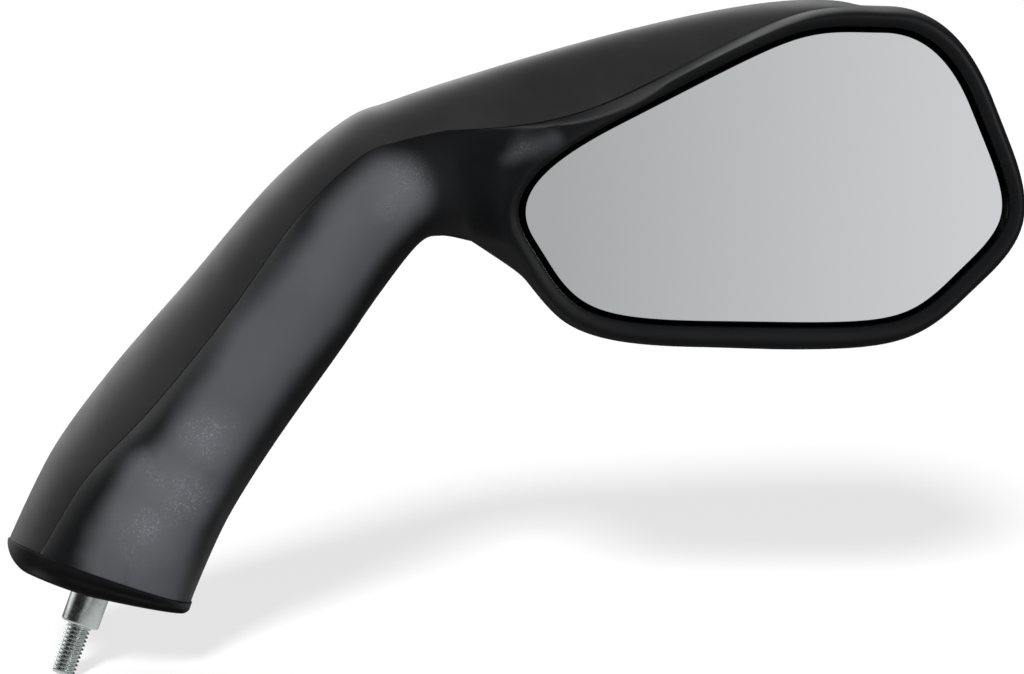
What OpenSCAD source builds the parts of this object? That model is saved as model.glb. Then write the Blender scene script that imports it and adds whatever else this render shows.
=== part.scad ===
// Fairing mirror of a motorcycle: a hollow two-shell arm and head on a folding stud, with a tilting convex glass.
// Axes: +X runs outboard along the head, +Z is up and the glass faces -Y, towards the rider.
// The origin lies on the stud axis, at the collar shoulder where the mounting thread starts.

/* [Mounting stud] */
// Diameter of the mounting thread
thread_d = 6; // [5:0.5:8]
// Length of the mounting thread
thread_len = 12.4; // [8:0.2:20]
// Diameter of the round collar above the thread
collar_d = 9.2; // [8.4:0.2:10]
// Length of the collar below the foot
collar_len = 8.4; // [6:0.2:10]
// Lean of the stud towards the outboard side, in degrees
lean_out = 20; // [17:1:23]
// Lean of the stud away from the rider, in degrees
lean_back = 11.5; // [9:0.5:14]

/* [Folding pivot] */
// Diameter of the flange that clamps the foot
flange_d = 18; // [16:1:20]
// Thickness of that flange
flange_t = 2; // [1.5:0.25:2.5]
// Diameter of the pivot shank
pivot_d = 8; // [7:0.5:8]
// Thickness of the nylon friction washer
friction_t = 1; // [0.8:0.1:1.5]
// Thickness of the cast pivot plate
plate_t = 5; // [4:0.5:6]
// Length of the pivot spring when fitted
spring_len = 12; // [11:0.5:13]
// Wire diameter of the pivot spring
spring_wire = 1.8; // [1.4:0.2:2]
// Mean diameter of the pivot spring
spring_d = 13; // [12:0.5:14]
// Thickness of the steel washers
washer_t = 1.2; // [1:0.1:1.6]
// Height of the lock nut
nut_h = 6.5; // [6:0.5:8]

/* [Foot] */
// Thickness of the foot on the stud axis
foot_t = 5.5; // [5:0.1:6.5]
// Slope of the underside of the foot, in degrees
foot_slope = 6.6; // [5:0.2:8]
// Radius of the rounded heel of the foot
heel_r = 9; // [7:0.5:10]

/* [Arm] */
// Outboard distance from the foot to the neck of the head
arm_reach = 84; // [76:1:92]
// Height from the foot to the neck of the head
arm_rise = 94; // [86:1:102]
// Width of the arm at its foot
arm_w = 45.5; // [43:0.5:48]
// Wall thickness of the shells
wall = 2.4; // [2:0.1:2.8]
// Gap of the parting line between the two shells
parting = 0.25; // [0.2:0.05:0.35]

/* [Head] */
// Width of the mirror glass
glass_w = 112.5; // [104:0.5:118]
// Height of the mirror glass
glass_h = 69; // [64:0.5:76]
// Thickness of the mirror glass
glass_t = 2; // [1.6:0.2:2.4]
// Radius of the convex glass
glass_r = 1200; // [900:50:1800]
// Gap between the glass and the frame round it
rim_gap = 1.1; // [0.9:0.1:1.4]
// Depth of the glass behind the face of the frame
glass_recess = 1.6; // [1.2:0.1:2.2]
// Depth of the lip round the opening
lip_depth = 3.2; // [3:0.1:4]
// Thickness of the lip round the opening
lip_t = 1.6; // [1.4:0.1:1.8]
// Distance of the face of the frame behind the seat of the stud
face_y = 3; // [0:0.5:5]
// Distance of the back of the head behind the seat of the stud
back_y = 39; // [37:0.5:44]

/* [Ball joint] */
// Diameter of the ball that carries the glass
ball_d = 12; // [11:0.5:13]
// Running clearance of the ball in its liner, on the radius
ball_fit = 0.05; // [0.02:0.01:0.1]
// Wall of the liner round the ball
liner_t = 1.4; // [1.2:0.1:1.6]
// Wall of the socket round the liner
socket_t = 1.8; // [1.6:0.1:2.2]
// Thickness of the carrier plate behind the glass
carrier_t = 1.8; // [1.5:0.1:2.2]
// Thickness of the adhesive pad behind the glass
pad_t = 0.8; // [0.6:0.1:1]

/* [Screws] */
// Diameter of the screws
screw_d = 3.5; // [3:0.25:4]
// Diameter of the screw heads
screw_head_d = 6.4; // [6:0.2:7]
// Diameter of the bosses that take the screws
boss_d = 7.4; // [7:0.2:8]

/* [Hidden] */

$fn = 48;

// Clearances
running = 0.05;
slide = 0.1;
collar_room = 0.4;
plate_gap = 0.8;
screw_room = 0.4;
// How far a cutting tool reaches past the face that it starts from
over = 1;

// Unit vector along the stud, from the thread up into the arm
stud_up = [cos(lean_back) * sin(lean_out), sin(lean_back), cos(lean_back) * cos(lean_out)];
stud_x = [cos(lean_out), 0, -sin(lean_out)];
stud_y = cross(stud_up, stud_x);
seat = stud_up * collar_len;

// Heights along the stud, from the collar shoulder
seam_z = collar_len + foot_t;
plate_z = seam_z + friction_t + running;
washer_z = plate_z + plate_t + running;
spring_z = washer_z + washer_t;
nut_z = spring_z + spring_len + washer_t;
stud_tip = 1;
stud_top = nut_z + nut_h + stud_tip;

// Stations of the arm from the foot to the neck. Each row holds the share of the reach, the share of the
// rise, the share of the width, the turn of the station in degrees, the inset of the parting line, and
// the depths of the parting line, the widest line, the front and the rear.
arm_rows = [
  [0, 0, 1, -21, 8.4, -12.5, 1, -17, 17],
  [0.104, 0.198, 0.98, -23, 10.6, -10, 5, -14.5, 21],
  [0.254, 0.394, 0.94, -24, 13.5, -6.5, 9, -11, 25],
  [0.449, 0.61, 0.861, -32.5, 12.2, -1.5, 13, -5.5, 30],
  [0.637, 0.819, 0.81, -46.5, 9.8, 3.5, 16, 0, 34],
  [0.79, 0.952, 0.758, -60, 8.7, 7, 18, 6.5, 37],
  [0.883, 0.985, 0.752, -69, 8.8, 8.5, 18.5, 10, 38.5],
  [1, 1, 0.84, -79, 10.2, 9.5, 19, 11.5, 39.5]];
arm_foot = [2.65, 6.1];
station_count = 20;
across = 8;

// Corners of the glass before rounding, as shares of its width and height, clockwise from the left
glass_at = [159.2, 98.2];
glass_corners = [[-0.552, -0.027], [0.069, 0.503], [0.363, 0.491], [0.527, -0.133], [0.302, -0.506],
  [-0.376, -0.49]];
// Width of the frame beside each edge of the glass
frame_w = [4.8, 5.4, 5.3, 5.7, 6.9, 7.1];
// Share of an edge that each round corner takes, and how closely the corners of glass and frame are held:
// 0 cuts a corner straight off, and more follows it further round
corner_reach = 0.4;
glass_hold = [1.16, 2, 1.02, 1.86, 1.98, 1.73];
frame_hold = [1.6, 2.1, 1, 1.4, 1.75, 1.5];
// Depth of the parting line at each outer corner of the frame
corner_y = [19, 8, 9, 10.5, 12, 15.5];
// Directions in which the outline of the neck enters the head, in degrees
neck_top_dir = 1.6;
neck_low_dir = -32;
corner_steps = 8;
edge_steps = 8;
rays = 6 * (corner_steps + edge_steps);

// Basic functions
function unit(v) = v / norm(v);
function mix(a, b, t) = a + (b - a) * t;
function smooth(t) = t * t * (3 - 2 * t);
function roll(t) = 1 - pow(max(0, 1 - pow(t, 2.6)), 1 / 2.6);
function left_of(d) = [-d[1], d[0]];
function curve(a, b, c, t) = mix(mix(a, b, t), mix(b, c, t), t);
function tight_curve(a, b, c, t) = let(
    p = mix(a, b, 0.9),
    q = mix(c, b, 0.72)
  ) mix(curve(a, p, q, t), curve(p, q, c, t), t);
function meet(p, d, q, e) = p + d * (((q - p) * left_of(e)) / (d * left_of(e)));
function row_at(rows, t) = let(
    i = min(floor(t), len(rows) - 2),
    f = t - i,
    a = rows[max(i - 1, 0)],
    b = rows[i],
    c = rows[i + 1],
    d = rows[min(i + 2, len(rows) - 1)]
  ) 0.5 * (2 * b + f * (c - a) + f * f * (2 * a - 5 * b + 4 * c - d) + f * f * f * (3 * b - a - 3 * c + d));

// Outline with round corners. Every corner gives corner_steps + 1 points and every edge the points between.
function wrap(i, n) = (i + n) % n;
function edge_dir(pts, i) = unit(pts[wrap(i + 1, len(pts))] - pts[wrap(i, len(pts))]);
function moved_corner(pts, w, i) = let(
    n = len(pts),
    d1 = edge_dir(pts, i - 1),
    d2 = edge_dir(pts, i)
  ) meet(pts[i] + left_of(d1) * w[wrap(i - 1, n)], d1, pts[i] + left_of(d2) * w[i], d2);
function moved_corners(pts, w) = [for (i = [0 : len(pts) - 1]) moved_corner(pts, w, i)];
function corner_arc(pts, hold, i) = let(
    n = len(pts),
    p = pts[i],
    from = mix(p, pts[wrap(i - 1, n)], corner_reach),
    to = mix(p, pts[wrap(i + 1, n)], corner_reach)
  ) [for (k = [0 : corner_steps]) let(
      t = k / corner_steps,
      a = pow(1 - t, 2),
      b = 2 * hold[i] * t * (1 - t),
      c = t * t
    ) (a * from + b * p + c * to) / (a + b + c)];
function between(a, b) = [for (k = [1 : edge_steps - 1]) mix(a, b, k / edge_steps)];
function round_outline(pts, hold) = [for (i = [0 : len(pts) - 1])
    let(here = corner_arc(pts, hold, i), next = corner_arc(pts, hold, wrap(i + 1, len(pts))))
    each concat(here, between(here[corner_steps], next[0]))];

// Stations of the arm
function arm_station(t) = let(
    row = row_at(arm_rows, t * (len(arm_rows) - 1)),
    mid = arm_foot + [row[0] * arm_reach, row[1] * arm_rise],
    half = row[2] * arm_w / 2,
    dir = [cos(row[3]), sin(row[3])]
  ) [mid - dir * half, mid + dir * half, row[4], row[5], row[6], row[7], row[8]];
function left_edge(st) = st[0];
function right_edge(st) = st[1];
function inset_edge(st) = st[0] + unit(st[1] - st[0]) * st[2];
function tuck(b) = min(50, 4 * b);
neck = arm_station(1);
neck_low = right_edge(neck);
neck_top = inset_edge(neck);

// The foot end of the arm is trimmed to a plane square to the stud, on which the arm can turn
arm_axis = unit([0.42, 0.19, 0.89]);
function trimmed(p, t) = let(
    keep = pow(max(0, 1 - t * (len(arm_rows) - 1)), 2)
  ) p + arm_axis * keep * ((foot_t - p * stud_up) / (arm_axis * stud_up));

// One arc across the front of the arm, from the parting line to the right edge
crown_at = 0.26;
left_steps = 3;
function front_arc(st, w) = let(
    dir = unit(st[1] - st[0]),
    lift = tuck(st[2]),
    a = inset_edge(st) + dir * w * cos(lift),
    b = st[1] - dir * w,
    ya = st[3] + w * sin(lift),
    yb = st[4],
    yf = st[5] + w
  ) [for (k = [0 : across]) let(
      s = k <= left_steps ? 1 - k / left_steps : sin(90 * (k - left_steps) / (across - left_steps)),
      share = k <= left_steps ? crown_at * (1 - s) : crown_at + (1 - crown_at) * pow(s, 2 / 2.6),
      y = k <= left_steps ? mix(yf, ya, pow(s, 2.2)) : mix(yf, yb, roll(pow(s, 2 / 2.6))),
      at = mix(a, b, share)
    ) [at[0], y, at[1]]];

// Outlines of the head
glass_pts = [for (c = glass_corners) glass_at + [c[0] * glass_w, c[1] * glass_h]];
opening_pts = moved_corners(glass_pts, [for (i = [0 : 5]) rim_gap]);
frame_pts = moved_corners(glass_pts, frame_w);
opening = round_outline(opening_pts, glass_hold);
frame_top = meet(neck_top, [cos(neck_top_dir), sin(neck_top_dir)], frame_pts[1], edge_dir(frame_pts, 0));
frame_low = meet(neck_low, [cos(neck_low_dir), sin(neck_low_dir)], frame_pts[5], edge_dir(frame_pts, 5));
first_arc = corner_arc(frame_pts, frame_hold, 1);
last_arc = corner_arc(frame_pts, frame_hold, 5);
// Crest of the rear shell above the parting line, which joins the frame at its top corner
crest_from = left_edge(neck);
crest_to = first_arc[corner_steps];
crest_bend = [mix(crest_from[0], crest_to[0], 0.8), crest_to[1] + 6.4];
function crest(t) = curve(crest_from, crest_bend, crest_to, t);

// Rim of the front shell round the head, clockwise from the low end of the neck.
// Each entry is [x, depth, z, tuck angle, depth from which the edge starts to roll over].
function with_depth(pts, y0, y1, g0, g1, k0, k1) = [for (i = [0 : len(pts) - 1])
    let(t = len(pts) == 1 ? 0 : i / (len(pts) - 1))
    [pts[i][0], mix(y0, y1, t), pts[i][1], mix(g0, g1, t), mix(k0, k1, t)]];
function shoulder(t) = mix(face_y, corner_y[1], 0.6 * (1 - t));
neck_line = front_arc(neck, 0);
neck_rim = [for (k = [0 : across]) let(p = neck_line[across - k])
    [p[0], p[1], p[2], k == across ? tuck(neck[2]) : 0, min(p[1], neck[5])]];
top_rim = [for (k = [1 : edge_steps - 1]) let(
      t = k / edge_steps,
      p = tight_curve(neck_top, frame_top, first_arc[0], t),
      b = norm(crest(t * 0.93) - p)
    ) [p[0], mix(neck[3], corner_y[1], t), p[1], tuck(b), mix(neck[3], shoulder(0), t)]];
low_rim = [for (k = [1 : edge_steps - 1]) let(
      t = k / edge_steps,
      p = curve(last_arc[corner_steps], frame_low, neck_low, t)
    ) [p[0], mix(corner_y[5], neck[4], t), p[1], 0, mix(face_y, neck[5], smooth(t))]];
function plain_corner(i) = with_depth(
    corner_arc(frame_pts, frame_hold, i), corner_y[i], corner_y[i], 0, 0, face_y, face_y);
function plain_edge(i) = with_depth(
    between(corner_arc(frame_pts, frame_hold, i)[corner_steps], corner_arc(frame_pts, frame_hold, i + 1)[0]),
    mix(corner_y[i], corner_y[i + 1], 1 / edge_steps), mix(corner_y[i + 1], corner_y[i], 1 / edge_steps), 0, 0,
    face_y, face_y);
top_corner = with_depth(first_arc, corner_y[1], corner_y[1], 6, 0, shoulder(0), face_y);
rim = concat(neck_rim, top_rim, top_corner, plain_edge(1), plain_corner(2), plain_edge(2), plain_corner(3),
  plain_edge(3), plain_corner(4), plain_edge(4), plain_corner(5), low_rim);

// Profile of the frame from the opening outwards, for ray i
outer_shares = [0.3, 0.58, 0.8, 0.93, 1];
inner_shares = [0.35, 0.7, 1];
function ray_dir(i) = unit([rim[i][0], rim[i][2]] - opening[i]);
function ray_len(i) = norm([rim[i][0], rim[i][2]] - opening[i]);
function fall(t, y0, base, y1) = y0 + (base - y0) * smooth(t) + (y1 - base) * roll(t);
function on_ray(i, d, y) = let(p = opening[i] + ray_dir(i) * d) [p[0], y, p[1]];
crown_d = 2.2;
function outer_ray(i) = concat(
    [on_ray(i, 0, face_y + lip_depth), on_ray(i, 0.15, face_y + 0.7), on_ray(i, 0.9, face_y + 0.12)],
    [on_ray(i, crown_d, face_y)],
    [for (t = outer_shares) on_ray(i, mix(crown_d, ray_len(i), t), fall(t, face_y, rim[i][4], rim[i][1]))]);
function rim_at(i) = [rim[wrap(i, rays)][0], rim[wrap(i, rays)][2]];
function tuck_in(i, w) = let(
    g = rim[i][3],
    way = unit(rim_at(i + 1) - rim_at(max(i - 1, across + 1))),
    p = rim_at(i) - left_of(way) * w * cos(g)
  ) [p[0], rim[i][1] + w * sin(g), p[1]];
function inner_ray(i) = let(
    end = i <= corner_steps ? front_arc(neck, wall)[across - i] : tuck_in(i, wall),
    from = opening[i] + ray_dir(i) * lip_t
  ) concat(
    [[from[0], face_y + lip_depth, from[1]], [from[0], face_y + wall, from[1]]],
    [for (t = inner_shares) let(base = max(face_y, rim[i][4]) + wall)
      [mix(from[0], end[0], t), fall(t, face_y + wall, base, end[1]), mix(from[1], end[2], t)]]);

// Faces of grids and strips of points
function tri2(a, b, c, d) = [[a, b, c], [a, c, d]];
function grid(m, n, from) = [for (i = [0 : m - 2]) for (j = [0 : n - 2])
    let(p = from + i * n + j) each tri2(p, p + 1, p + n + 1, p + n)];
function strip(a, b) = [for (k = [0 : len(a) - 2]) each tri2(a[k], a[k + 1], b[k + 1], b[k])];
function flipped(faces) = [for (f = faces) [f[2], f[1], f[0]]];

// Front shell: the frame round the glass and the front of the arm in one moulding
module front_skin() {
  outer_n = 4 + len(outer_shares);
  inner_n = 2 + len(inner_shares);
  wide = across + 1;
  arm_outer = [for (s = [0 : station_count - 1]) let(t = s / station_count)
    each [for (p = front_arc(arm_station(t), 0)) trimmed(p, t)]];
  arm_inner = [for (s = [0 : station_count - 1]) let(t = s / station_count)
    each [for (p = front_arc(arm_station(t), wall)) trimmed(p, t)]];
  head_outer = [for (i = [0 : rays - 1]) each outer_ray(i)];
  head_inner = [for (i = [0 : rays - 1]) each inner_ray(i)];
  b1 = len(head_outer);
  b2 = b1 + len(head_inner);
  b3 = b2 + len(arm_outer);
  round_trip = [for (i = [0 : rays]) i % rays];
  outer_rim = [for (i = round_trip) i * outer_n + outer_n - 1];
  inner_rim = [for (i = round_trip) b1 + i * inner_n + inner_n - 1];
  outer_lip = [for (i = round_trip) i * outer_n];
  inner_lip = [for (i = round_trip) b1 + i * inner_n];
  neck_outer = [for (k = [0 : across]) outer_rim[across - k]];
  neck_inner = [for (k = [0 : across]) inner_rim[across - k]];
  left_outer = [for (s = [0 : station_count]) s < station_count ? b2 + s * wide : neck_outer[0]];
  left_inner = [for (s = [0 : station_count]) s < station_count ? b3 + s * wide : neck_inner[0]];
  right_outer = [for (s = [0 : station_count]) s < station_count ? b2 + s * wide + across : neck_outer[across]];
  right_inner = [for (s = [0 : station_count]) s < station_count ? b3 + s * wide + across : neck_inner[across]];
  last_outer = [for (k = [0 : across]) b2 + (station_count - 1) * wide + k];
  last_inner = [for (k = [0 : across]) b3 + (station_count - 1) * wide + k];
  faces = concat(
    [for (i = [0 : rays - 1]) for (j = [0 : outer_n - 2])
      let(p = i * outer_n + j, q = ((i + 1) % rays) * outer_n + j) each tri2(p, p + 1, q + 1, q)],
    flipped([for (i = [0 : rays - 1]) for (j = [0 : inner_n - 2])
      let(p = b1 + i * inner_n + j, q = b1 + ((i + 1) % rays) * inner_n + j) each tri2(p, p + 1, q + 1, q)]),
    flipped(grid(station_count, wide, b2)),
    flipped(strip(last_outer, neck_outer)),
    grid(station_count, wide, b3),
    strip(last_inner, neck_inner),
    strip(outer_lip, inner_lip),
    flipped(strip([for (i = [across : rays]) outer_rim[i]], [for (i = [across : rays]) inner_rim[i]])),
    flipped(strip(left_outer, left_inner)),
    strip(right_outer, right_inner),
    strip([for (k = [0 : across]) b2 + k], [for (k = [0 : across]) b3 + k]));
  translate(seat) polyhedron(points = concat(head_outer, head_inner, arm_outer, arm_inner), faces = faces);
}

// Rear shell: the smooth back of the head and arm, with the bosses that hold the pivot and the ball
rim_x = [for (p = rim) p[0]];
tip = search(max(rim_x), rim_x)[0];
head_steps = 20;
edge_samples = 3;
back_samples = 12;
back_n = 2.5;
// Rise of the rear shell's edge faces per millimetre of wall, so that they touch nothing further in
seam_draft = 0.18;
top_ids = [for (i = [across : tip]) i];
low_ids = [for (i = [rays : -1 : tip]) i % rays];
function rim_table(ids, what) = [for (i = ids) [rim[i][0], rim[i][what]]];
top_z = rim_table(top_ids, 2);
top_y = rim_table(top_ids, 1);
top_tuck = rim_table(top_ids, 3);
low_z = rim_table(low_ids, 2);
low_y = rim_table(low_ids, 1);
crest_z = concat([for (k = [0 : 12]) crest(k / 12)], [for (i = [across + edge_steps + corner_steps + 1 : tip])
  [rim[i][0], rim[i][2]]]);
head_end = rim[tip][0] - 0.3;
// Thickness of the rear shell at the outboard tip
tip_wall = 1.4 * wall;
function head_mid_y(f) = mix(neck[4], corner_y[3] + 1, f);
function head_back_y(f) = let(y = head_mid_y(f)) y + (back_y - y) * sqrt(1 - 0.985 * pow(f, 3));
// Each station of the back is [parting x and z, crest x and z, low edge x and z, parting depth, crest depth,
// low edge depth, back depth, tuck angle]
function arm_back(t) = let(st = arm_station(t))
  [inset_edge(st), st[0], st[1], st[3], st[4], st[4], st[6], tuck(st[2])];
function head_back(f) = let(
    xp = mix(neck_top[0], head_end, f),
    xc = mix(crest_from[0], head_end, f),
    xl = mix(neck_low[0], head_end, f)
  ) [[xp, lookup(xp, top_z)], [xc, lookup(xc, crest_z)], [xl, lookup(xl, low_z)], lookup(xp, top_y),
    max(head_mid_y(f), lookup(xp, top_y)), lookup(xl, low_y), head_back_y(f), lookup(xp, top_tuck)];
function back_arc(b, w) = let(
    dir = unit(b[2] - b[1]),
    g = b[7],
    p = b[0] + dir * (w * cos(g) - parting * sin(g)),
    yp = b[3] + w * (sin(g) + seam_draft) + parting * cos(g),
    crest_at = b[1] + dir * w,
    low_at = b[2] - dir * w,
    yl = b[5] + parting + w * seam_draft,
    yb = b[6] - w
  ) concat(
    [for (k = [0 : edge_samples - 1]) let(
        a = 60 * (1 - k / edge_samples),
        q = mix(crest_at, p, (1 - cos(a)) / (1 - cos(60)))
      ) [q[0], mix(b[4], yp, sin(a) / sin(60)), q[1]]],
    [for (k = [0 : back_samples]) let(
        a = 180 * k / back_samples,
        share = (1 - sign(cos(a)) * pow(abs(cos(a)), 2 / back_n)) / 2,
        q = mix(crest_at, low_at, share),
        y = mix(b[4], yl, share)
      ) [q[0], y + (yb - y) * pow(max(0, sin(a)), 2 / back_n), q[1]]]);
// Depth of the outside of the back at a point of the head
function back_depth(x, z) = let(
    f = (x - neck_low[0]) / (head_end - neck_low[0]),
    top = lookup(x, crest_z),
    low = lookup(x, low_z),
    y = head_mid_y(f)
  ) y + (head_back_y(f) - y) * pow(1 - pow(abs(1 - 2 * (top - z) / (top - low)), back_n), 1 / back_n);

function least_back(x, z, r) = min([for (a = [0 : 45 : 315]) back_depth(x + r * cos(a), z + r * sin(a))]);

module back_skin() {
  wide = edge_samples + back_samples + 1;
  rows = station_count + head_steps + 1;
  head_f = [for (k = [1 : head_steps]) 1 - pow(1 - k / head_steps, 1.5)];
  inner_end = 1 - tip_wall / (head_end - crest_from[0]);
  outer = concat(
    [for (s = [0 : station_count]) let(t = s / station_count)
      each [for (p = back_arc(arm_back(t), 0)) trimmed(p, t)]],
    [for (f = head_f) each back_arc(head_back(f), 0)]);
  inner = concat(
    [for (s = [0 : station_count]) let(t = s / station_count)
      each [for (p = back_arc(arm_back(t), wall)) trimmed(p, t)]],
    [for (f = head_f) each back_arc(head_back(inner_end * f), wall)]);
  b1 = rows * wide;
  last = (rows - 1) * wide;
  first_out = [for (s = [0 : rows - 1]) s * wide];
  end_out = [for (s = [0 : rows - 1]) s * wide + wide - 1];
  cap = [for (k = [0 : wide - 1]) last + k];
  base = [for (k = [0 : wide - 1]) k];
  faces = concat(
    grid(rows, wide, 0),
    flipped(grid(rows, wide, b1)),
    strip(first_out, [for (p = first_out) b1 + p]),
    flipped(strip(end_out, [for (p = end_out) b1 + p])),
    flipped(strip(base, [for (p = base) b1 + p])),
    [for (k = [0 : wide - 3]) [cap[wide - 1], cap[k], cap[k + 1]]],
    flipped([for (k = [0 : wide - 3]) [b1 + cap[wide - 1], b1 + cap[k], b1 + cap[k + 1]]]),
    tri2(cap[0], cap[wide - 1], b1 + cap[wide - 1], b1 + cap[0]));
  translate(seat) polyhedron(points = concat(outer, inner), faces = faces);
}

// Local frames: along the stud from the collar shoulder, and at the ball facing the rider
module on_stud() {
  rotate([-lean_back, lean_out, 0]) children();
}
module in_head(x, y, z) {
  translate(seat + [x, y, z]) rotate([90, 0, 0]) children();
}
function to_stud(p) = [(p + seat) * stud_x, (p + seat) * stud_y];

// Outline of the foot end of the arm in the frame of the stud, taken in by w
function base_ring(w) = concat(
  [for (p = front_arc(arm_station(0), w)) to_stud(trimmed(p, 0))],
  [for (k = [back_n_points - 2 : -1 : 1]) to_stud(trimmed(back_arc(arm_back(0), w)[k], 0))]);
back_n_points = edge_samples + back_samples + 1;

// Foot: a soft pad between the arm and the fairing. Its profile is seen along the local Y axis of the stud,
// from the seat up, with a round heel at the inboard end and a small round toe.
foot_lip = 0.3;
foot_end = arm_w / 2 + 0.8;
toe_r = 1.5;
arc_steps = 8;
function arc(centre, r, from, to) = [for (k = [0 : arc_steps]) let(a = mix(from, to, k / arc_steps))
    centre + r * [cos(a), sin(a)]];
module foot_side() {
  toe = [foot_end - toe_r, (foot_end - toe_r) * tan(foot_slope) + toe_r / cos(foot_slope)];
  polygon(concat(
    arc([heel_r - foot_end, heel_r], heel_r, 180, 270),
    [[0, 0]],
    arc(toe, toe_r, 270 + foot_slope, 360),
    [[foot_end, heel_r]]));
}
module base_foot() {
  color([0.07, 0.07, 0.075]) on_stud() translate([0, 0, collar_len]) difference() {
    intersection() {
      linear_extrude(foot_t - slide) polygon(base_ring(-foot_lip));
      rotate([90, 0, 0]) translate([0, 0, -arm_w]) linear_extrude(2 * arm_w) foot_side();
    }
    translate([0, 0, -over]) cylinder(d = collar_d + 2 * collar_room, h = foot_t + 2 * over);
    translate([0, 0, foot_t - flange_t - slide]) cylinder(d = flange_d + 4 * slide, h = flange_t + over);
  }
}

// Stud: mounting thread, collar, clamping flange, pivot shank and nut thread in one turned piece
module pivot_stud() {
  chamfer = 0.8;
  collar_edge = 0.5;
  core = thread_d / 2;
  profile = [
    [0, -thread_len],
    [core - chamfer, -thread_len],
    [core, -thread_len + chamfer],
    [core, 0],
    [collar_d / 2 - collar_edge, 0],
    [collar_d / 2, collar_edge],
    [collar_d / 2, seam_z - flange_t],
    [flange_d / 2, seam_z - flange_t],
    [flange_d / 2, seam_z],
    [pivot_d / 2, seam_z],
    [pivot_d / 2, stud_top - chamfer],
    [pivot_d / 2 - chamfer, stud_top],
    [0, stud_top]];
  color([0.75, 0.76, 0.76]) on_stud() rotate_extrude() polygon(profile);
}

// A flat ring on the stud
module stud_ring(z, h, inner_d, outer_d) {
  on_stud() translate([0, 0, z]) difference() {
    cylinder(d = outer_d, h = h);
    translate([0, 0, -over]) cylinder(d = inner_d, h = h + 2 * over);
  }
}
washer_bore = pivot_d + 2 * slide;
// How far the nylon washer stands out past the flange, and the steel washers past the spring, on the diameter
friction_out = 4;
lower_out = 3;
upper_out = 1;
module friction_washer() {
  color([0.85, 0.85, 0.8]) stud_ring(seam_z, friction_t, washer_bore, flange_d + friction_out);
}
module lower_washer() {
  color([0.7, 0.71, 0.72]) stud_ring(washer_z, washer_t, washer_bore, spring_d + spring_wire + lower_out);
}
module upper_washer() {
  outer_d = spring_d + spring_wire + upper_out;
  color([0.7, 0.71, 0.72]) stud_ring(spring_z + spring_len, washer_t, washer_bore, outer_d);
}
module lock_nut() {
  nut_w = 13;
  corner_r = nut_w / cos(30) / 2;
  face_r = nut_w / 2 + 0.2;
  bevel = 0.8;
  color([0.7, 0.71, 0.72]) on_stud() translate([0, 0, nut_z]) difference() {
    intersection() {
      cylinder(r = corner_r, h = nut_h, $fn = 6);
      rotate_extrude() polygon([[0, 0], [face_r, 0], [corner_r, bevel], [corner_r, nut_h - bevel], [face_r, nut_h],
        [0, nut_h]]);
    }
    translate([0, 0, -over]) cylinder(d = pivot_d + 2 * running, h = nut_h + 2 * over);
  }
}

// Spring with one closed turn at each end
spring_turns = 4;
ring_steps = 14;
wire_sides = 8;
function coil_rise(turn) = let(
    closed = spring_wire,
    open = (spring_len - 3 * spring_wire) / (spring_turns - 2)
  ) turn < 1 ? closed * turn : turn < spring_turns - 1 ? closed + open * (turn - 1)
  : closed + open * (spring_turns - 2) + closed * (turn - spring_turns + 1);
module pivot_spring() {
  rings = spring_turns * ring_steps;
  wire_r = spring_wire / 2 - running / 2;
  points = [for (i = [0 : rings]) let(turn = i / ring_steps, a = 360 * turn)
    each [for (k = [0 : wire_sides - 1]) let(b = 360 * k / wire_sides, r = spring_d / 2 + wire_r * cos(b))
      [r * cos(a), r * sin(a), spring_wire / 2 + coil_rise(turn) + wire_r * sin(b)]]];
  sides = [for (i = [0 : rings - 1]) for (k = [0 : wire_sides - 1]) let(
      p = i * wire_sides + k,
      q = i * wire_sides + (k + 1) % wire_sides
    ) each tri2(p, q, q + wire_sides, p + wire_sides)];
  first = [for (k = [1 : wire_sides - 2]) [0, k + 1, k]];
  from = rings * wire_sides;
  last = [for (k = [1 : wire_sides - 2]) [from, from + k, from + k + 1]];
  color([0.55, 0.55, 0.57]) on_stud() translate([0, 0, spring_z])
    polyhedron(points = points, faces = flipped(concat(sides, first, last)));
}

// Cast plate that turns on the stud and carries the shells
boss_share = 0.56;
boss_reach = boss_share * arm_w / 2;
boss_back = 6;
boss_at = [[-boss_reach, boss_back], [boss_reach, boss_back]];
boss_len = 8;
boss_rib = 2;
boss_rib_out = 2.3;
drain_d = 5;
module pivot_plate() {
  color([0.5, 0.5, 0.52]) on_stud() difference() {
    translate([0, 0, plate_z]) linear_extrude(plate_t) difference() {
      polygon(base_ring(wall + plate_gap));
      for (side = [-1, 1]) translate([side * boss_reach, -boss_reach / 3]) circle(d = drain_d);
    }
    translate([0, 0, plate_z - over]) cylinder(d = pivot_d + 2 * running, h = plate_t + 2 * over);
    for (p = boss_at) translate([p[0], p[1], plate_z - over]) {
      cylinder(d = screw_d + screw_room, h = plate_t + 2 * over);
      cylinder(d = screw_head_d + screw_room, h = over + plate_t / 2);
    }
  }
}

// Pan head screw with its tip at +z, head face at 0
screw_head_h = 2;
module screw(len) {
  edge = 0.9;
  point = [0.6, 1];
  cross_slot = [screw_head_d * 0.55, 0.8, screw_head_h];
  difference() {
    rotate_extrude() polygon([[0, -screw_head_h], [screw_head_d / 2 - edge, -screw_head_h],
      [screw_head_d / 2, -screw_head_h + edge], [screw_head_d / 2, 0], [screw_d / 2, 0],
      [screw_d / 2, len - point[1]], [point[0], len], [0, len]]);
    for (a = [0, 90]) rotate(a) translate([0, 0, -screw_head_h]) cube(cross_slot, center = true);
  }
}
module plate_screws() {
  color([0.72, 0.72, 0.7]) on_stud() for (p = boss_at)
    translate([p[0], p[1], plate_z + plate_t / 2]) screw(plate_t / 2 + boss_len - 2 * tip_room);
}

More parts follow.
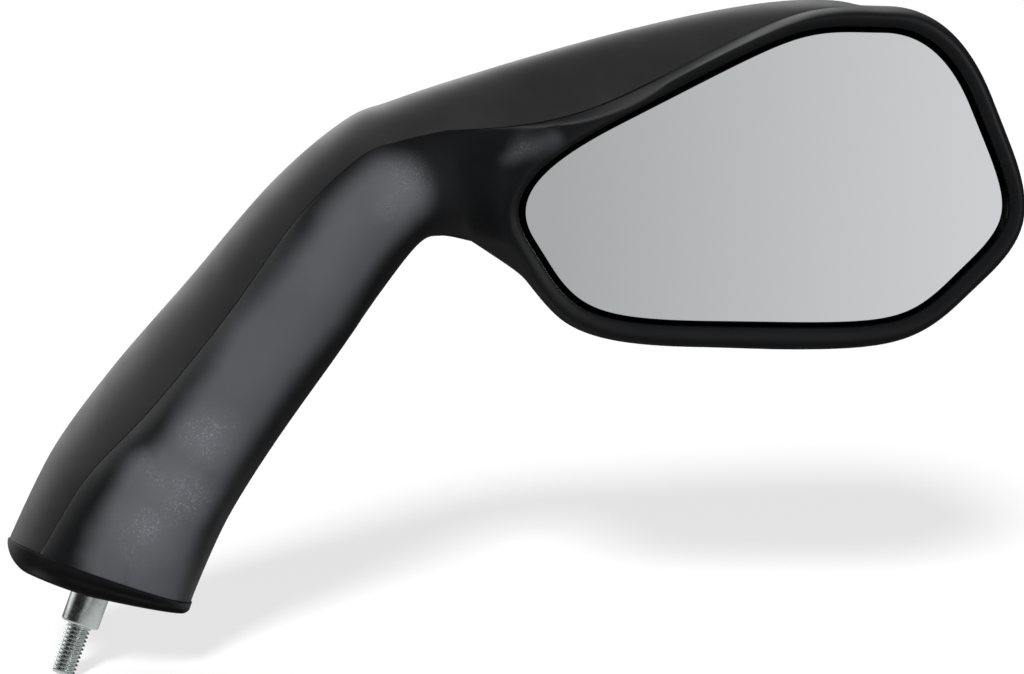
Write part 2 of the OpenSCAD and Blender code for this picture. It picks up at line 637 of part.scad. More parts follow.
// Screws that join the shells enter from the back, down the middle of the arm, at the floor of round wells.
// Each spot is [x, z, front depth, rear depth].
shell_screw_at = [0.3, 0.66];
shell_screw_len = 14;
middle_share = 0.42;
function screw_spot(t) = let(
    st = arm_station(t),
    p = mix(inset_edge(st), st[1], middle_share)
  ) [p[0], p[1], st[5], st[6]];
well_depth = 3.2;
well_floor = 1.8;
well_wall = 1.5;
well_sunk = 1.6;
post_top = well_depth + well_floor + parting;
module shell_screws() {
  color([0.2, 0.2, 0.21]) for (t = shell_screw_at) let(s = screw_spot(t))
    in_head(s[0], s[3] - well_depth, s[1]) screw(shell_screw_len);
}
module front_shell() {
  color([0.1, 0.1, 0.11]) difference() {
    union() {
      front_skin();
      for (t = shell_screw_at) let(s = screw_spot(t))
        in_head(s[0], s[3] - post_top, s[1]) cylinder(d = boss_d, h = s[3] - s[2] - post_top - 0.8 * wall);
    }
    for (t = shell_screw_at) let(s = screw_spot(t))
      in_head(s[0], s[3], s[1]) cylinder(d = screw_d + slide, h = well_depth + shell_screw_len + tip_room);
  }
}

// Ball joint and glass
opening_y = face_y + glass_recess;
function sag(r) = glass_r - sqrt(glass_r * glass_r - r * r);
ball_y = opening_y + glass_t + pad_t + carrier_t / 3 + liner_t + ball_d / 2 + ball_fit;
pin_neck = 3.5;
pin_neck_d = 6;
bracket_y = ball_y + ball_d / 2 + pin_neck;
bracket_t = 3;
bracket_at = [[-24, 0], [12, 15], [12, -15]];
// Height of the hub of the bracket towards the ball
hub_h = 1.2;
// Depth of the pilot holes in the bosses of the head, and by how much screws stop short of their holes' ends
pilot_len = 5.2;
tip_room = 0.7;
module bosses_of_head(d) {
  for (p = bracket_at) let(x = glass_at[0] + p[0], z = glass_at[1] + p[1], y = least_back(x, z, d / 2) - wall / 2)
    in_head(x, y, z) cylinder(d = d, h = y - bracket_y - bracket_t);
}
module rear_shell() {
  color([0.12, 0.12, 0.13]) difference() {
    union() {
      back_skin();
      bosses_of_head(boss_d);
      on_stud() for (p = boss_at) translate([p[0], p[1], plate_z + plate_t]) {
        cylinder(d = boss_d, h = boss_len);
        translate([-boss_rib / 2, 0, 0]) cube([boss_rib, boss_d / 2 + boss_rib_out, boss_len]);
      }
      for (t = shell_screw_at) let(s = screw_spot(t))
        in_head(s[0], s[3] - well_sunk, s[1])
          cylinder(d = boss_d + 2 * well_wall, h = well_depth + well_floor - well_sunk);
    }
    for (p = bracket_at) in_head(glass_at[0] + p[0], bracket_y + bracket_t + pilot_len, glass_at[1] + p[1])
      cylinder(d = screw_d + slide, h = pilot_len + 1);
    on_stud() for (p = boss_at) translate([p[0], p[1], plate_z + plate_t - over])
      cylinder(d = screw_d + slide, h = over + boss_len - tip_room);
    for (t = shell_screw_at) let(s = screw_spot(t)) in_head(s[0], s[3] + over, s[1]) {
      cylinder(d = screw_head_d + 2 * screw_room, h = over + well_depth);
      cylinder(d = screw_d + screw_room, h = 2 * over + well_depth + well_floor);
    }
  }
}
module ball_bracket() {
  disc_d = 15;
  hub_d = 11;
  eye_d = boss_d + 2;
  leg_w = 8;
  color([0.16, 0.16, 0.17]) in_head(glass_at[0], bracket_y + bracket_t, glass_at[1]) difference() {
    union() {
      linear_extrude(bracket_t) {
        circle(d = disc_d);
        for (p = bracket_at) {
          translate(p) circle(d = eye_d);
          rotate(atan2(p[1], p[0])) translate([0, -leg_w / 2]) square([norm(p), leg_w]);
        }
      }
      cylinder(d = hub_d, h = bracket_t + hub_h);
    }
    translate([0, 0, -over]) cylinder(d = pin_neck_d + 2 * running, h = bracket_t + hub_h + 2 * over);
    for (p = bracket_at) translate([p[0], p[1], -over])
      cylinder(d = screw_d + screw_room, h = bracket_t + 2 * over);
  }
}
module bracket_screws() {
  color([0.72, 0.72, 0.7]) for (p = bracket_at) in_head(glass_at[0] + p[0], bracket_y, glass_at[1] + p[1])
    rotate([180, 0, 0]) screw(bracket_t + pilot_len - tip_room);
}
// Ball with its neck and a riveted shank through the bracket
module ball_pin() {
  rivet_d = [7.2, 8.8];
  rivet_h = 1;
  back = bracket_y + bracket_t - ball_y;
  color([0.6, 0.6, 0.62]) in_head(glass_at[0], ball_y, glass_at[1]) {
    sphere(d = ball_d);
    translate([0, 0, -back]) cylinder(d = pin_neck_d, h = back);
    translate([0, 0, -back - rivet_h]) cylinder(d1 = rivet_d[0], d2 = rivet_d[1], h = rivet_h);
  }
}
// Part of a hollow ball round +z, open behind the polar angle end
module cup(r0, r1, end) {
  difference() {
    sphere(r = r1);
    sphere(r = r0);
    translate([0, 0, r1 * cos(end) - 2 * r1]) cylinder(r = 2 * r1, h = 2 * r1);
  }
}
liner_r = ball_d / 2 + ball_fit;
socket_r = liner_r + liner_t + ball_fit;
// Three slits across the open side of a cup of radius r
module slits(r, w) {
  for (k = [0 : 2]) rotate(60 * k + 30) translate([0, 0, -r - over]) cube([4 * r, w, 2 * r], center = true);
}
module ball_liner() {
  liner_end = 118;
  color([0.82, 0.8, 0.72]) in_head(glass_at[0], ball_y, glass_at[1]) difference() {
    cup(liner_r, liner_r + liner_t, liner_end);
    slits(liner_r, 1);
  }
}
function about_centre(pts) = [for (p = pts) p - glass_at];
// A curved sheet that follows the glass, from depth y0 to y1 behind its front
module dished(y0, y1, inset) {
  steps = 10;
  reach = glass_w * 0.62;
  deep = 20;
  front = [for (k = [0 : steps]) let(r = reach * k / steps) [r, -sag(r) - y0]];
  back = [for (k = [steps : -1 : 0]) let(r = reach * k / steps) [r, -sag(r) - y1]];
  pts = moved_corners(glass_pts, [for (i = [0 : 5]) -inset]);
  in_head(glass_at[0], opening_y, glass_at[1]) intersection() {
    rotate_extrude($fn = 96) polygon(concat(front, back));
    translate([0, 0, -deep]) linear_extrude(2 * deep) polygon(about_centre(round_outline(pts, glass_hold)));
  }
}
module mirror_glass() {
  color([0.72, 0.74, 0.75]) dished(0, glass_t, 0);
}
pad_inset = 3;
module adhesive_pad() {
  color([0.15, 0.15, 0.15]) dished(glass_t, glass_t + pad_t, pad_inset);
}
carrier_y = glass_t + pad_t;
carrier_inset = 0.5;
rib = [13, 1.2, 3];
module mirror_carrier() {
  socket_end = 112;
  color([0.14, 0.14, 0.15]) difference() {
    union() {
      dished(carrier_y, carrier_y + carrier_t, carrier_inset);
      in_head(glass_at[0], ball_y, glass_at[1]) {
        cup(socket_r, socket_r + socket_t, socket_end);
        for (k = [0 : 5]) rotate(60 * k)
          translate([socket_r + 0.5, -rib[1] / 2, ball_y - opening_y - carrier_y - carrier_t - rib[2]])
            cube([rib[0], rib[1], rib[2] + 0.5]);
      }
    }
    in_head(glass_at[0], opening_y + carrier_y + running, glass_at[1])
      cylinder(r = socket_r + socket_t, h = socket_r);
    in_head(glass_at[0], ball_y, glass_at[1]) {
      sphere(r = socket_r);
      slits(socket_r, 1.2);
    }
  }
}
// Spring wire ring that closes the fingers of the socket
module socket_ring() {
  wire = 1.2;
  behind = 2.2;
  r = sqrt(pow(socket_r + socket_t, 2) - behind * behind) + wire / 2 + 0.15;
  color([0.7, 0.7, 0.72]) in_head(glass_at[0], ball_y, glass_at[1]) translate([0, 0, -behind])
    rotate_extrude() translate([r, 0]) circle(d = wire, $fn = 24);
}

base_foot();
pivot_stud();
friction_washer();
lower_washer();
pivot_spring();
upper_washer();
lock_nut();
pivot_plate();
plate_screws();
front_shell();
rear_shell();
shell_screws();
ball_bracket();
bracket_screws();
ball_pin();
ball_liner();
mirror_carrier();
socket_ring();
adhesive_pad();
mirror_glass();
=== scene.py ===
"""Looks of a motorcycle fairing mirror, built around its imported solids."""

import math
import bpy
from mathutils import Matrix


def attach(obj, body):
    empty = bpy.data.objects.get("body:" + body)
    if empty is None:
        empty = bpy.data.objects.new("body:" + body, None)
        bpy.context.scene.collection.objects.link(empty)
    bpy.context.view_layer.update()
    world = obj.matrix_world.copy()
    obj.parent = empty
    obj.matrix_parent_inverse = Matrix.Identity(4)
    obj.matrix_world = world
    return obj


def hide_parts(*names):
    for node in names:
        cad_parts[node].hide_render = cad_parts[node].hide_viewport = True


bl_info = {
    "name": "Fairing mirror looks",
    "version": (1, 0, 0),
    "blender": (4, 5, 0),
    "location": "View3D > Sidebar > Mirror",
    "description": "Builds the pieces and finishes of a fairing mirror, and the studio round it",
    "category": "Object",
}

import bpy
import numpy as np
from mathutils import Vector

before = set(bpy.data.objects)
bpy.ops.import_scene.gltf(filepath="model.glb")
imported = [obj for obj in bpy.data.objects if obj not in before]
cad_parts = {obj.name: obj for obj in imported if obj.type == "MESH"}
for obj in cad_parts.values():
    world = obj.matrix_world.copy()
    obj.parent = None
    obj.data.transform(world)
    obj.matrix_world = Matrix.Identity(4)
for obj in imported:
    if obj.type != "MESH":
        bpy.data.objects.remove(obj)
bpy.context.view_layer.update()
MM = 0.001


# Settings that a user would change

class ShellSettings(bpy.types.PropertyGroup):
    grain_size: bpy.props.FloatProperty(
        name="Grain size", description="Size of the moulded grain", default=0.00045, min=0.0001,
        unit="LENGTH")
    grain_depth: bpy.props.FloatProperty(
        name="Grain depth", description="Depth of the moulded grain", default=0.00003, min=0.0, unit="LENGTH")
    front_color: bpy.props.FloatVectorProperty(
        name="Front colour", description="Colour of the front shell", size=3, subtype="COLOR",
        min=0.0, max=1.0, default=(0.0052, 0.0054, 0.006))
    # Grey and sheen colour: partly dusty grey, partly painted sheen where the front light falls on the arm.
    faded_sheen_color: bpy.props.FloatVectorProperty(
        name="Grey and sheen colour", description="Colour of the front where the black has gone grey", size=3,
        subtype="COLOR", min=0.0, max=1.0, default=(0.071, 0.073, 0.08))
    rear_color: bpy.props.FloatVectorProperty(
        name="Rear colour", description="Colour of the rear shell", size=3, subtype="COLOR",
        min=0.0, max=1.0, default=(0.017, 0.017, 0.0175))
    edge_round: bpy.props.FloatProperty(
        name="Edge rounding", description="Rounding of the edges at the parting line", default=0.0003,
        min=0.0001, unit="LENGTH")


class HardwareSettings(bpy.types.PropertyGroup):
    thread_pitch: bpy.props.FloatProperty(
        name="Thread pitch", description="Pitch of the mounting thread", default=0.001, min=0.0005,
        unit="LENGTH")
    thread_depth: bpy.props.FloatProperty(
        name="Thread depth", description="Depth of the thread on its radius", default=0.0006, min=0.0002,
        unit="LENGTH")
    zinc_color: bpy.props.FloatVectorProperty(
        name="Zinc colour", description="Colour of the zinc plated steel", size=3, subtype="COLOR",
        min=0.0, max=1.0, default=(0.62, 0.66, 0.65))
    rubber_color: bpy.props.FloatVectorProperty(
        name="Rubber colour", description="Colour of the foot", size=3, subtype="COLOR",
        min=0.0, max=1.0, default=(0.003, 0.003, 0.0032))
    # The heel colour is painted light: the left side of the foot, where the light falls, painted lighter
    # grey.
    heel_light_color: bpy.props.FloatVectorProperty(
        name="Lit heel rubber colour", description="Colour of the foot at its heel, where it has gone grey",
        size=3, subtype="COLOR", min=0.0, max=1.0, default=(0.055, 0.055, 0.056))


class GlassSettings(bpy.types.PropertyGroup):
    silver_color: bpy.props.FloatVectorProperty(
        name="Silver colour", description="Colour of the silvered glass", size=3, subtype="COLOR",
        min=0.0, max=1.0, default=(0.84, 0.85, 0.86))
    edge_chamfer: bpy.props.FloatProperty(
        name="Edge chamfer", description="Width of the ground edge of the glass", default=0.0004, min=0.0001,
        unit="LENGTH")


class StudioSettings(bpy.types.PropertyGroup):
    lens: bpy.props.FloatProperty(
        name="Lens", description="Focal length of the camera", default=104.14, min=20.0, unit="CAMERA")
    sun_strength: bpy.props.FloatProperty(
        name="High light", description="Strength of the distant light that casts the floor's shadow",
        default=3.8, min=0.0)
    sun_spread: bpy.props.FloatProperty(
        name="High light spread", description="Angle of the distant light, which softens its shadow",
        default=math.radians(12), min=0.0, subtype="ANGLE")
    front_power: bpy.props.FloatProperty(
        name="Front light", description="Power of the soft light in front of the arm", default=2.2, min=0.0,
        unit="POWER")
    floor_color: bpy.props.FloatVectorProperty(
        name="Floor colour", description="Colour of the floor", size=3, subtype="COLOR",
        min=0.0, max=1.0, default=(0.95, 0.95, 0.95))


# Sizes of the solids, in millimetres, as in the part's source

LEAN_OUT, LEAN_BACK = math.radians(20), math.radians(11.5)
COLLAR_LEN, COLLAR_D, COLLAR_ROOM = 8.4, 9.2, 0.4
THREAD_D, THREAD_LEN, RUNOUT, TIP_CHAMFER = 6.0, 12.4, 0.9, 0.8
# Shares of the pitch: half of the flat crest, and each flank of the thread
CREST_FLAT, THREAD_FLANK = 0.06, 0.36
FLANGE_D, FLANGE_T, FLANGE_ROOM, PIVOT_D = 18.0, 2.0, 0.2, 8.0
ARM_REACH, ARM_RISE, ARM_W = 84.0, 94.0, 45.5
FOOT_T, FOOT_SLOPE, HEEL_R, TOE_R, FOOT_LIP = 5.5, 6.6, 9.0, 1.5, 0.3
FOOT_END = ARM_W / 2 + 0.8
FOOT_HOLLOW, FOOT_UNDER_ARM = 1.6, 0.1
WALL, PARTING, SEAM_DRAFT = 2.4, 0.25, 0.18
GLASS_W, GLASS_H, GLASS_T, GLASS_R = 112.5, 69.0, 2.0, 1200.0
RIM_GAP, GLASS_RECESS, LIP_DEPTH, LIP_T = 1.1, 1.6, 3.2, 1.6
FACE_Y, BACK_Y = 3.0, 39.0
SCREW_D, SCREW_HEAD_D, BOSS_D, SCREW_ROOM = 3.5, 6.4, 7.4, 0.4
WELL_DEPTH, WELL_FLOOR, WELL_WALL, WELL_SUNK = 3.2, 1.8, 1.5, 1.6
SCREW_STATIONS, SCREW_ACROSS = (0.3, 0.66), 0.42
FRICTION_T, RUN, PLATE_T, WASHER_T, SPRING_LEN, NUT_T, PAST_NUT = 1.0, 0.05, 5.0, 1.2, 12.0, 6.5, 1.0
STUD_TOP = COLLAR_LEN + FOOT_T + FRICTION_T + 2 * RUN + PLATE_T + 2 * WASHER_T + SPRING_LEN + NUT_T + PAST_NUT

STUD_UP = np.array([
    math.cos(LEAN_BACK) * math.sin(LEAN_OUT), math.sin(LEAN_BACK), math.cos(LEAN_BACK) * math.cos(LEAN_OUT)])
STUD_X = np.array([math.cos(LEAN_OUT), 0.0, -math.sin(LEAN_OUT)])
STUD_Y = np.cross(STUD_UP, STUD_X)
SEAT = STUD_UP * COLLAR_LEN
STUD_AXES = np.stack([STUD_X, STUD_Y, STUD_UP])

# Stations of the arm: share of the reach, rise and width, turn, inset of the parting line,
# and depths of the parting line, the widest line, the front and the rear
ARM_ROWS = np.array([
    [0, 0, 1, -21, 8.4, -12.5, 1, -17, 17],
    [0.104, 0.198, 0.98, -23, 10.6, -10, 5, -14.5, 21],
    [0.254, 0.394, 0.94, -24, 13.5, -6.5, 9, -11, 25],
    [0.449, 0.61, 0.861, -32.5, 12.2, -1.5, 13, -5.5, 30],
    [0.637, 0.819, 0.81, -46.5, 9.8, 3.5, 16, 0, 34],
    [0.79, 0.952, 0.758, -60, 8.7, 7, 18, 6.5, 37],
    [0.883, 0.985, 0.752, -69, 8.8, 8.5, 18.5, 10, 38.5],
    [1, 1, 0.84, -79, 10.2, 9.5, 19, 11.5, 39.5]])
ARM_FOOT = np.array([2.65, 6.1])
ARM_AXIS = np.array([0.42, 0.19, 0.89]) / np.linalg.norm([0.42, 0.19, 0.89])

GLASS_AT = np.array([159.2, 98.2])
GLASS_CORNERS = [
    (-0.552, -0.027), (0.069, 0.503), (0.363, 0.491), (0.527, -0.133), (0.302, -0.506), (-0.376, -0.49)]
FRAME_W = [4.8, 5.4, 5.3, 5.7, 6.9, 7.1]
CORNER_REACH = 0.4
GLASS_HOLD = [1.16, 2, 1.02, 1.86, 1.98, 1.73]
FRAME_HOLD = [1.6, 2.1, 1, 1.4, 1.75, 1.5]
CORNER_Y = [19, 8, 9, 10.5, 12, 15.5]
NECK_TOP_DIR, NECK_LOW_DIR = math.radians(1.6), math.radians(-32)
CROWN_AT, CROWN_D, BACK_N, FRONT_N, LEFT_N = 0.26, 2.2, 2.5, 2.6, 2.2
CREST_AT, CREST_LIFT, CREST_SPAN = 0.8, 6.4, 0.93
SHOULDER_SHARE, SHOULDER_TUCK = 0.6, 6
# Rolled edge of the opening: its depth and drop, and the power of its roll
EDGE_DEPTH, EDGE_DROP, EDGE_N = 2.0, 1.1, 1.6
# The back of the head: how far it closes at the tip, the gap there, the wall, and the turn of its top
TIP_CLOSE, TIP_GAP, TIP_WALL, BACK_TURN = 0.985, 0.3, 1.4 * WALL, 60

# How much finer than the solids the looks are
FINE = 4
CORNER_STEPS = 8 * FINE
EDGE_STEPS = 8 * FINE
ACROSS = 8 * FINE
LEFT_STEPS = 3 * FINE
STATIONS = 20 * FINE
HEAD_STEPS = 20 * FINE
TURN_STEPS, BACK_STEPS = 3 * FINE, 12 * FINE
RAYS = 6 * (CORNER_STEPS + EDGE_STEPS)

# Bends that are evened out: reach, width of the band where it fades, rounds, and hold beside the seams
NECK_REACH, NECK_BAND, NECK_ROUNDS, NECK_HOLD = 42, 16, 90, 4
BEND_REACH, BEND_BAND, BEND_ROUNDS, BEND_HOLD = 17, 12, 18, 5
EASE = 0.6
# Points of each ray that make the rolled edge and stay, and those over which the easing comes in
EDGE_HELD, EDGE_BAND = 12, 8
# Angle in degrees above which an edge stays sharp
SHARP = 35


# Sums and curves

def unit(v):
    return v / np.linalg.norm(v)


def mix(a, b, t):
    return a + (b - a) * t


def smooth(t):
    return t * t * (3 - 2 * t)


def clamp(t):
    return min(1.0, max(0.0, t))


def tuck_angle(inset):
    return math.radians(min(50, 4 * inset))


def roll(t):
    return 1 - max(0.0, 1 - t ** FRONT_N) ** (1 / FRONT_N)


def left_of(d):
    return np.array([-d[1], d[0]])


def curve(a, b, c, t):
    return mix(mix(a, b, t), mix(b, c, t), t)


def tight_curve(a, b, c, t):
    p, q = mix(a, b, 0.9), mix(c, b, 0.72)
    return mix(curve(a, p, q, t), curve(p, q, c, t), t)


def meet(p, d, q, e):
    return p + d * (((q - p) @ left_of(e)) / (d @ left_of(e)))


def row_at(rows, t):
    i = min(int(math.floor(t)), len(rows) - 2)
    f = t - i
    a, b, c, d = rows[max(i - 1, 0)], rows[i], rows[i + 1], rows[min(i + 2, len(rows) - 1)]
    bend, twist = 2 * a - 5 * b + 4 * c - d, 3 * b - a - 3 * c + d
    return 0.5 * (2 * b + f * (c - a) + f * f * bend + f ** 3 * twist)


# Outlines with round corners

def edge_dir(pts, i):
    n = len(pts)
    return unit(pts[(i + 1) % n] - pts[i % n])


def moved_corners(pts, w):
    n = len(pts)
    found = []
    for i in range(n):
        d1, d2 = edge_dir(pts, i - 1), edge_dir(pts, i)
        found.append(meet(pts[i] + left_of(d1) * w[(i - 1) % n], d1, pts[i] + left_of(d2) * w[i], d2))
    return found


def corner_arc(pts, hold, i, steps):
    """Points round a corner, which the hold keeps near the corner itself."""
    n = len(pts)
    i = i % n
    start, end = mix(pts[i], pts[(i - 1) % n], CORNER_REACH), mix(pts[i], pts[(i + 1) % n], CORNER_REACH)
    found = []
    for k in range(steps + 1):
        t = k / steps
        a, b, c = (1 - t) ** 2, 2 * hold[i] * t * (1 - t), t * t
        found.append((a * start + b * pts[i] + c * end) / (a + b + c))
    return found


def round_outline(pts, hold):
    found = []
    for i in range(len(pts)):
        here = corner_arc(pts, hold, i, CORNER_STEPS)
        after = corner_arc(pts, hold, i + 1, CORNER_STEPS)
        found += here + [mix(here[-1], after[0], k / EDGE_STEPS) for k in range(1, EDGE_STEPS)]
    return np.array(found)


# Stations of the arm

class Station:
    """One cut across the arm."""

    def __init__(self, t):
        row = row_at(ARM_ROWS, t * (len(ARM_ROWS) - 1))
        middle = ARM_FOOT + np.array([row[0] * ARM_REACH, row[1] * ARM_RISE])
        half = row[2] * ARM_W / 2
        turn = math.radians(row[3])
        self.across = np.array([math.cos(turn), math.sin(turn)])
        self.left, self.right = middle - self.across * half, middle + self.across * half
        self.inset, self.parting_y, self.wide_y, self.front_y, self.rear_y = row[4:9]
        self.parting = self.left + self.across * self.inset
        self.tuck = tuck_angle(self.inset)


def trimmed(p, t):
    keep = max(0.0, 1 - t * (len(ARM_ROWS) - 1)) ** 2
    return p + ARM_AXIS * keep * ((FOOT_T - p @ STUD_UP) / (ARM_AXIS @ STUD_UP))


def front_arc(st, w):
    """Points across the front of the arm, from the parting line to the right edge."""
    a = st.parting + st.across * w * math.cos(st.tuck)
    b = st.right - st.across * w
    ya, yb, yf = st.parting_y + w * math.sin(st.tuck), st.wide_y, st.front_y + w
    found = []
    for k in range(ACROSS + 1):
        if k <= LEFT_STEPS:
            s = 1 - k / LEFT_STEPS
            share, y = CROWN_AT * (1 - s), mix(yf, ya, s ** LEFT_N)
        else:
            s = math.sin(math.radians(90 * (k - LEFT_STEPS) / (ACROSS - LEFT_STEPS))) ** (2 / FRONT_N)
            share, y = CROWN_AT + (1 - CROWN_AT) * s, mix(yf, yb, roll(s))
        at = mix(a, b, share)
        found.append([at[0], y, at[1]])
    return np.array(found)


# Outlines of the head

GLASS_PTS = [GLASS_AT + np.array([c[0] * GLASS_W, c[1] * GLASS_H]) for c in GLASS_CORNERS]
FRAME_PTS = moved_corners(GLASS_PTS, FRAME_W)
OPENING = round_outline(moved_corners(GLASS_PTS, [RIM_GAP] * 6), GLASS_HOLD)
NECK = Station(1)
NECK_LOW, NECK_TOP = NECK.right, NECK.parting
FRAME_TOP = meet(NECK_TOP, np.array([math.cos(NECK_TOP_DIR), math.sin(NECK_TOP_DIR)]), FRAME_PTS[1],
                 edge_dir(FRAME_PTS, 0))
FRAME_LOW = meet(NECK_LOW, np.array([math.cos(NECK_LOW_DIR), math.sin(NECK_LOW_DIR)]), FRAME_PTS[5],
                 edge_dir(FRAME_PTS, 5))
FIRST_ARC = corner_arc(FRAME_PTS, FRAME_HOLD, 1, CORNER_STEPS)
LAST_ARC = corner_arc(FRAME_PTS, FRAME_HOLD, 5, CORNER_STEPS)
CREST_FROM, CREST_TO = NECK.left, FIRST_ARC[-1]
CREST_BEND = np.array([mix(CREST_FROM[0], CREST_TO[0], CREST_AT), CREST_TO[1] + CREST_LIFT])


def crest(t):
    return curve(CREST_FROM, CREST_BEND, CREST_TO, t)


def shoulder(t):
    return mix(FACE_Y, CORNER_Y[1], SHOULDER_SHARE * (1 - t))


def make_rim():
    """Rim of the front shell round the head. Each row is x, depth, z, tuck angle, base depth."""
    rows = []
    line = front_arc(NECK, 0)
    for k in range(ACROSS + 1):
        p = line[ACROSS - k]
        rows.append([p[0], p[1], p[2], NECK.tuck if k == ACROSS else 0, min(p[1], NECK.front_y)])
    for k in range(1, EDGE_STEPS):
        t = k / EDGE_STEPS
        p = tight_curve(NECK_TOP, FRAME_TOP, FIRST_ARC[0], t)
        b = np.linalg.norm(crest(t * CREST_SPAN) - p)
        rows.append([p[0], mix(NECK.parting_y, CORNER_Y[1], t), p[1], tuck_angle(b),
                     mix(NECK.parting_y, shoulder(0), t)])
    for k in range(CORNER_STEPS + 1):
        t = k / CORNER_STEPS
        p = FIRST_ARC[k]
        rows.append([p[0], CORNER_Y[1], p[1], math.radians(SHOULDER_TUCK * (1 - t)), shoulder(t)])
    for i in (1, 2, 3, 4):
        here = corner_arc(FRAME_PTS, FRAME_HOLD, i, CORNER_STEPS)
        after = corner_arc(FRAME_PTS, FRAME_HOLD, i + 1, CORNER_STEPS)
        if i > 1:
            rows += [[p[0], CORNER_Y[i], p[1], 0, FACE_Y] for p in here]
        for k in range(1, EDGE_STEPS):
            p = mix(here[-1], after[0], k / EDGE_STEPS)
            rows.append([p[0], mix(CORNER_Y[i], CORNER_Y[i + 1], k / EDGE_STEPS), p[1], 0, FACE_Y])
    rows += [[p[0], CORNER_Y[5], p[1], 0, FACE_Y] for p in LAST_ARC]
    for k in range(1, EDGE_STEPS):
        t = k / EDGE_STEPS
        p = curve(LAST_ARC[-1], FRAME_LOW, NECK_LOW, t)
        rows.append([p[0], mix(CORNER_Y[5], NECK.wide_y, t), p[1], 0, mix(FACE_Y, NECK.front_y, smooth(t))])
    return np.array(rows)


RIM = make_rim()


def fall(t, y0, base, y1):
    return y0 + (base - y0) * smooth(t) + (y1 - base) * roll(t)


# Meshes

def grid(rows, wide, start=0, flip=False):
    faces = []
    for i in range(rows - 1):
        for j in range(wide - 1):
            p = start + i * wide + j
            q = (p, p + 1, p + wide + 1, p + wide)
            faces.append(q[::-1] if flip else q)
    return faces


def strip(a, b, flip=False):
    faces = [(a[k], a[k + 1], b[k + 1], b[k]) for k in range(len(a) - 1)]
    return [f[::-1] for f in faces] if flip else faces


def turned(faces):
    """The shells list their faces clockwise, as the part's source does, and Blender needs the other way."""
    return [tuple(reversed(f)) for f in faces]


def make_mesh(name, points, faces, sharp=SHARP):
    """A mesh object from points in millimetres, with smooth shading up to the sharp angle."""
    mesh = bpy.data.meshes.new(name)
    places = [tuple(float(c) * MM for c in p) for p in points]
    mesh.from_pydata(places, [], [tuple(int(i) for i in f) for f in faces])
    mesh.validate()
    mesh.shade_smooth()
    mesh.set_sharp_from_angle(angle=math.radians(sharp))
    piece = bpy.data.objects.new(name, mesh)
    bpy.context.scene.collection.objects.link(piece)
    return piece


def apply_modifiers(piece):
    """Replaces the piece's mesh by what its modifiers make of it."""
    bpy.context.view_layer.update()
    graph = bpy.context.evaluated_depsgraph_get()
    mesh = bpy.data.meshes.new_from_object(piece.evaluated_get(graph))
    piece.modifiers.clear()
    piece.data = mesh


def cylinder_y(points_xz, y0, y1, radius, sides=64):
    """Points and faces of a round bar along Y."""
    x, z = points_xz
    pts = []
    for y in (y0, y1):
        for k in range(sides):
            a = 2 * math.pi * k / sides
            pts.append([x + radius * math.cos(a), y, z + radius * math.sin(a)])
    faces = [(k, (k + 1) % sides, sides + (k + 1) % sides, sides + k) for k in range(sides)]
    faces += [tuple(range(sides))[::-1], tuple(range(sides, 2 * sides))]
    return pts, faces


def boolean(piece, tool, operation):
    cut = piece.modifiers.new(operation, "BOOLEAN")
    cut.operation = operation
    cut.solver = "EXACT"
    cut.object = tool
    apply_modifiers(piece)
    bpy.data.objects.remove(tool)


# Front shell

def front_ray(i):
    """Outer and inner profile of the frame from the opening outwards."""
    start, rim = OPENING[i], RIM[i]
    reach = np.array([rim[0], rim[2]]) - start
    length = np.linalg.norm(reach)
    d = reach / length
    outer = [[start[0], FACE_Y + LIP_DEPTH, start[1]], [start[0], FACE_Y + EDGE_DEPTH, start[1]]]
    for k in range(7):
        a = math.radians(90 * k / 6)
        x = CROWN_D * (1 - math.cos(a) ** EDGE_N)
        y = FACE_Y + EDGE_DROP * (1 - math.sin(a))
        outer.append([start[0] + d[0] * x, y, start[1] + d[1] * x])
    steps = 7 * FINE
    for k in range(1, steps + 1):
        t = math.sin(math.radians(90 * k / steps)) ** (2 / FRONT_N)
        p = start + d * mix(CROWN_D, length, t)
        outer.append([p[0], fall(t, FACE_Y, rim[4], rim[1]), p[1]])
    if i <= ACROSS:
        end = front_arc(NECK, WALL)[ACROSS - i]
    else:
        after, before = RIM[(i + 1) % RAYS], RIM[max(i - 1, ACROSS + 1)]
        way = unit(np.array([after[0] - before[0], after[2] - before[2]]))
        e = np.array([rim[0], rim[2]]) - left_of(way) * WALL * math.cos(rim[3])
        end = np.array([e[0], rim[1] + WALL * math.sin(rim[3]), e[1]])
    near = start + d * LIP_T
    inner = [[near[0], FACE_Y + LIP_DEPTH, near[1]], [near[0], FACE_Y + WALL, near[1]]]
    steps = 2 * FINE
    for k in range(1, steps + 1):
        t = k / steps
        inner.append([mix(near[0], end[0], t), fall(t, FACE_Y + WALL, max(FACE_Y, rim[4]) + WALL, end[1]),
                      mix(near[1], end[2], t)])
    return outer, inner


def relax(points, faces, weights, rounds):
    """Evens out the points by their neighbours, each by its weight."""
    links = set()
    for f in faces:
        for a, b in zip(f, f[1:] + f[:1]):
            links.add((a, b))
            links.add((b, a))
    pairs = np.array(sorted(links))
    count = np.bincount(pairs[:, 0], minlength=len(points)).reshape(-1, 1)
    points = points.copy()
    for _ in range(rounds):
        total = np.zeros_like(points)
        np.add.at(total, pairs[:, 0], points[pairs[:, 1]])
        points += (total / np.maximum(count, 1) - points) * weights.reshape(-1, 1)
    return points


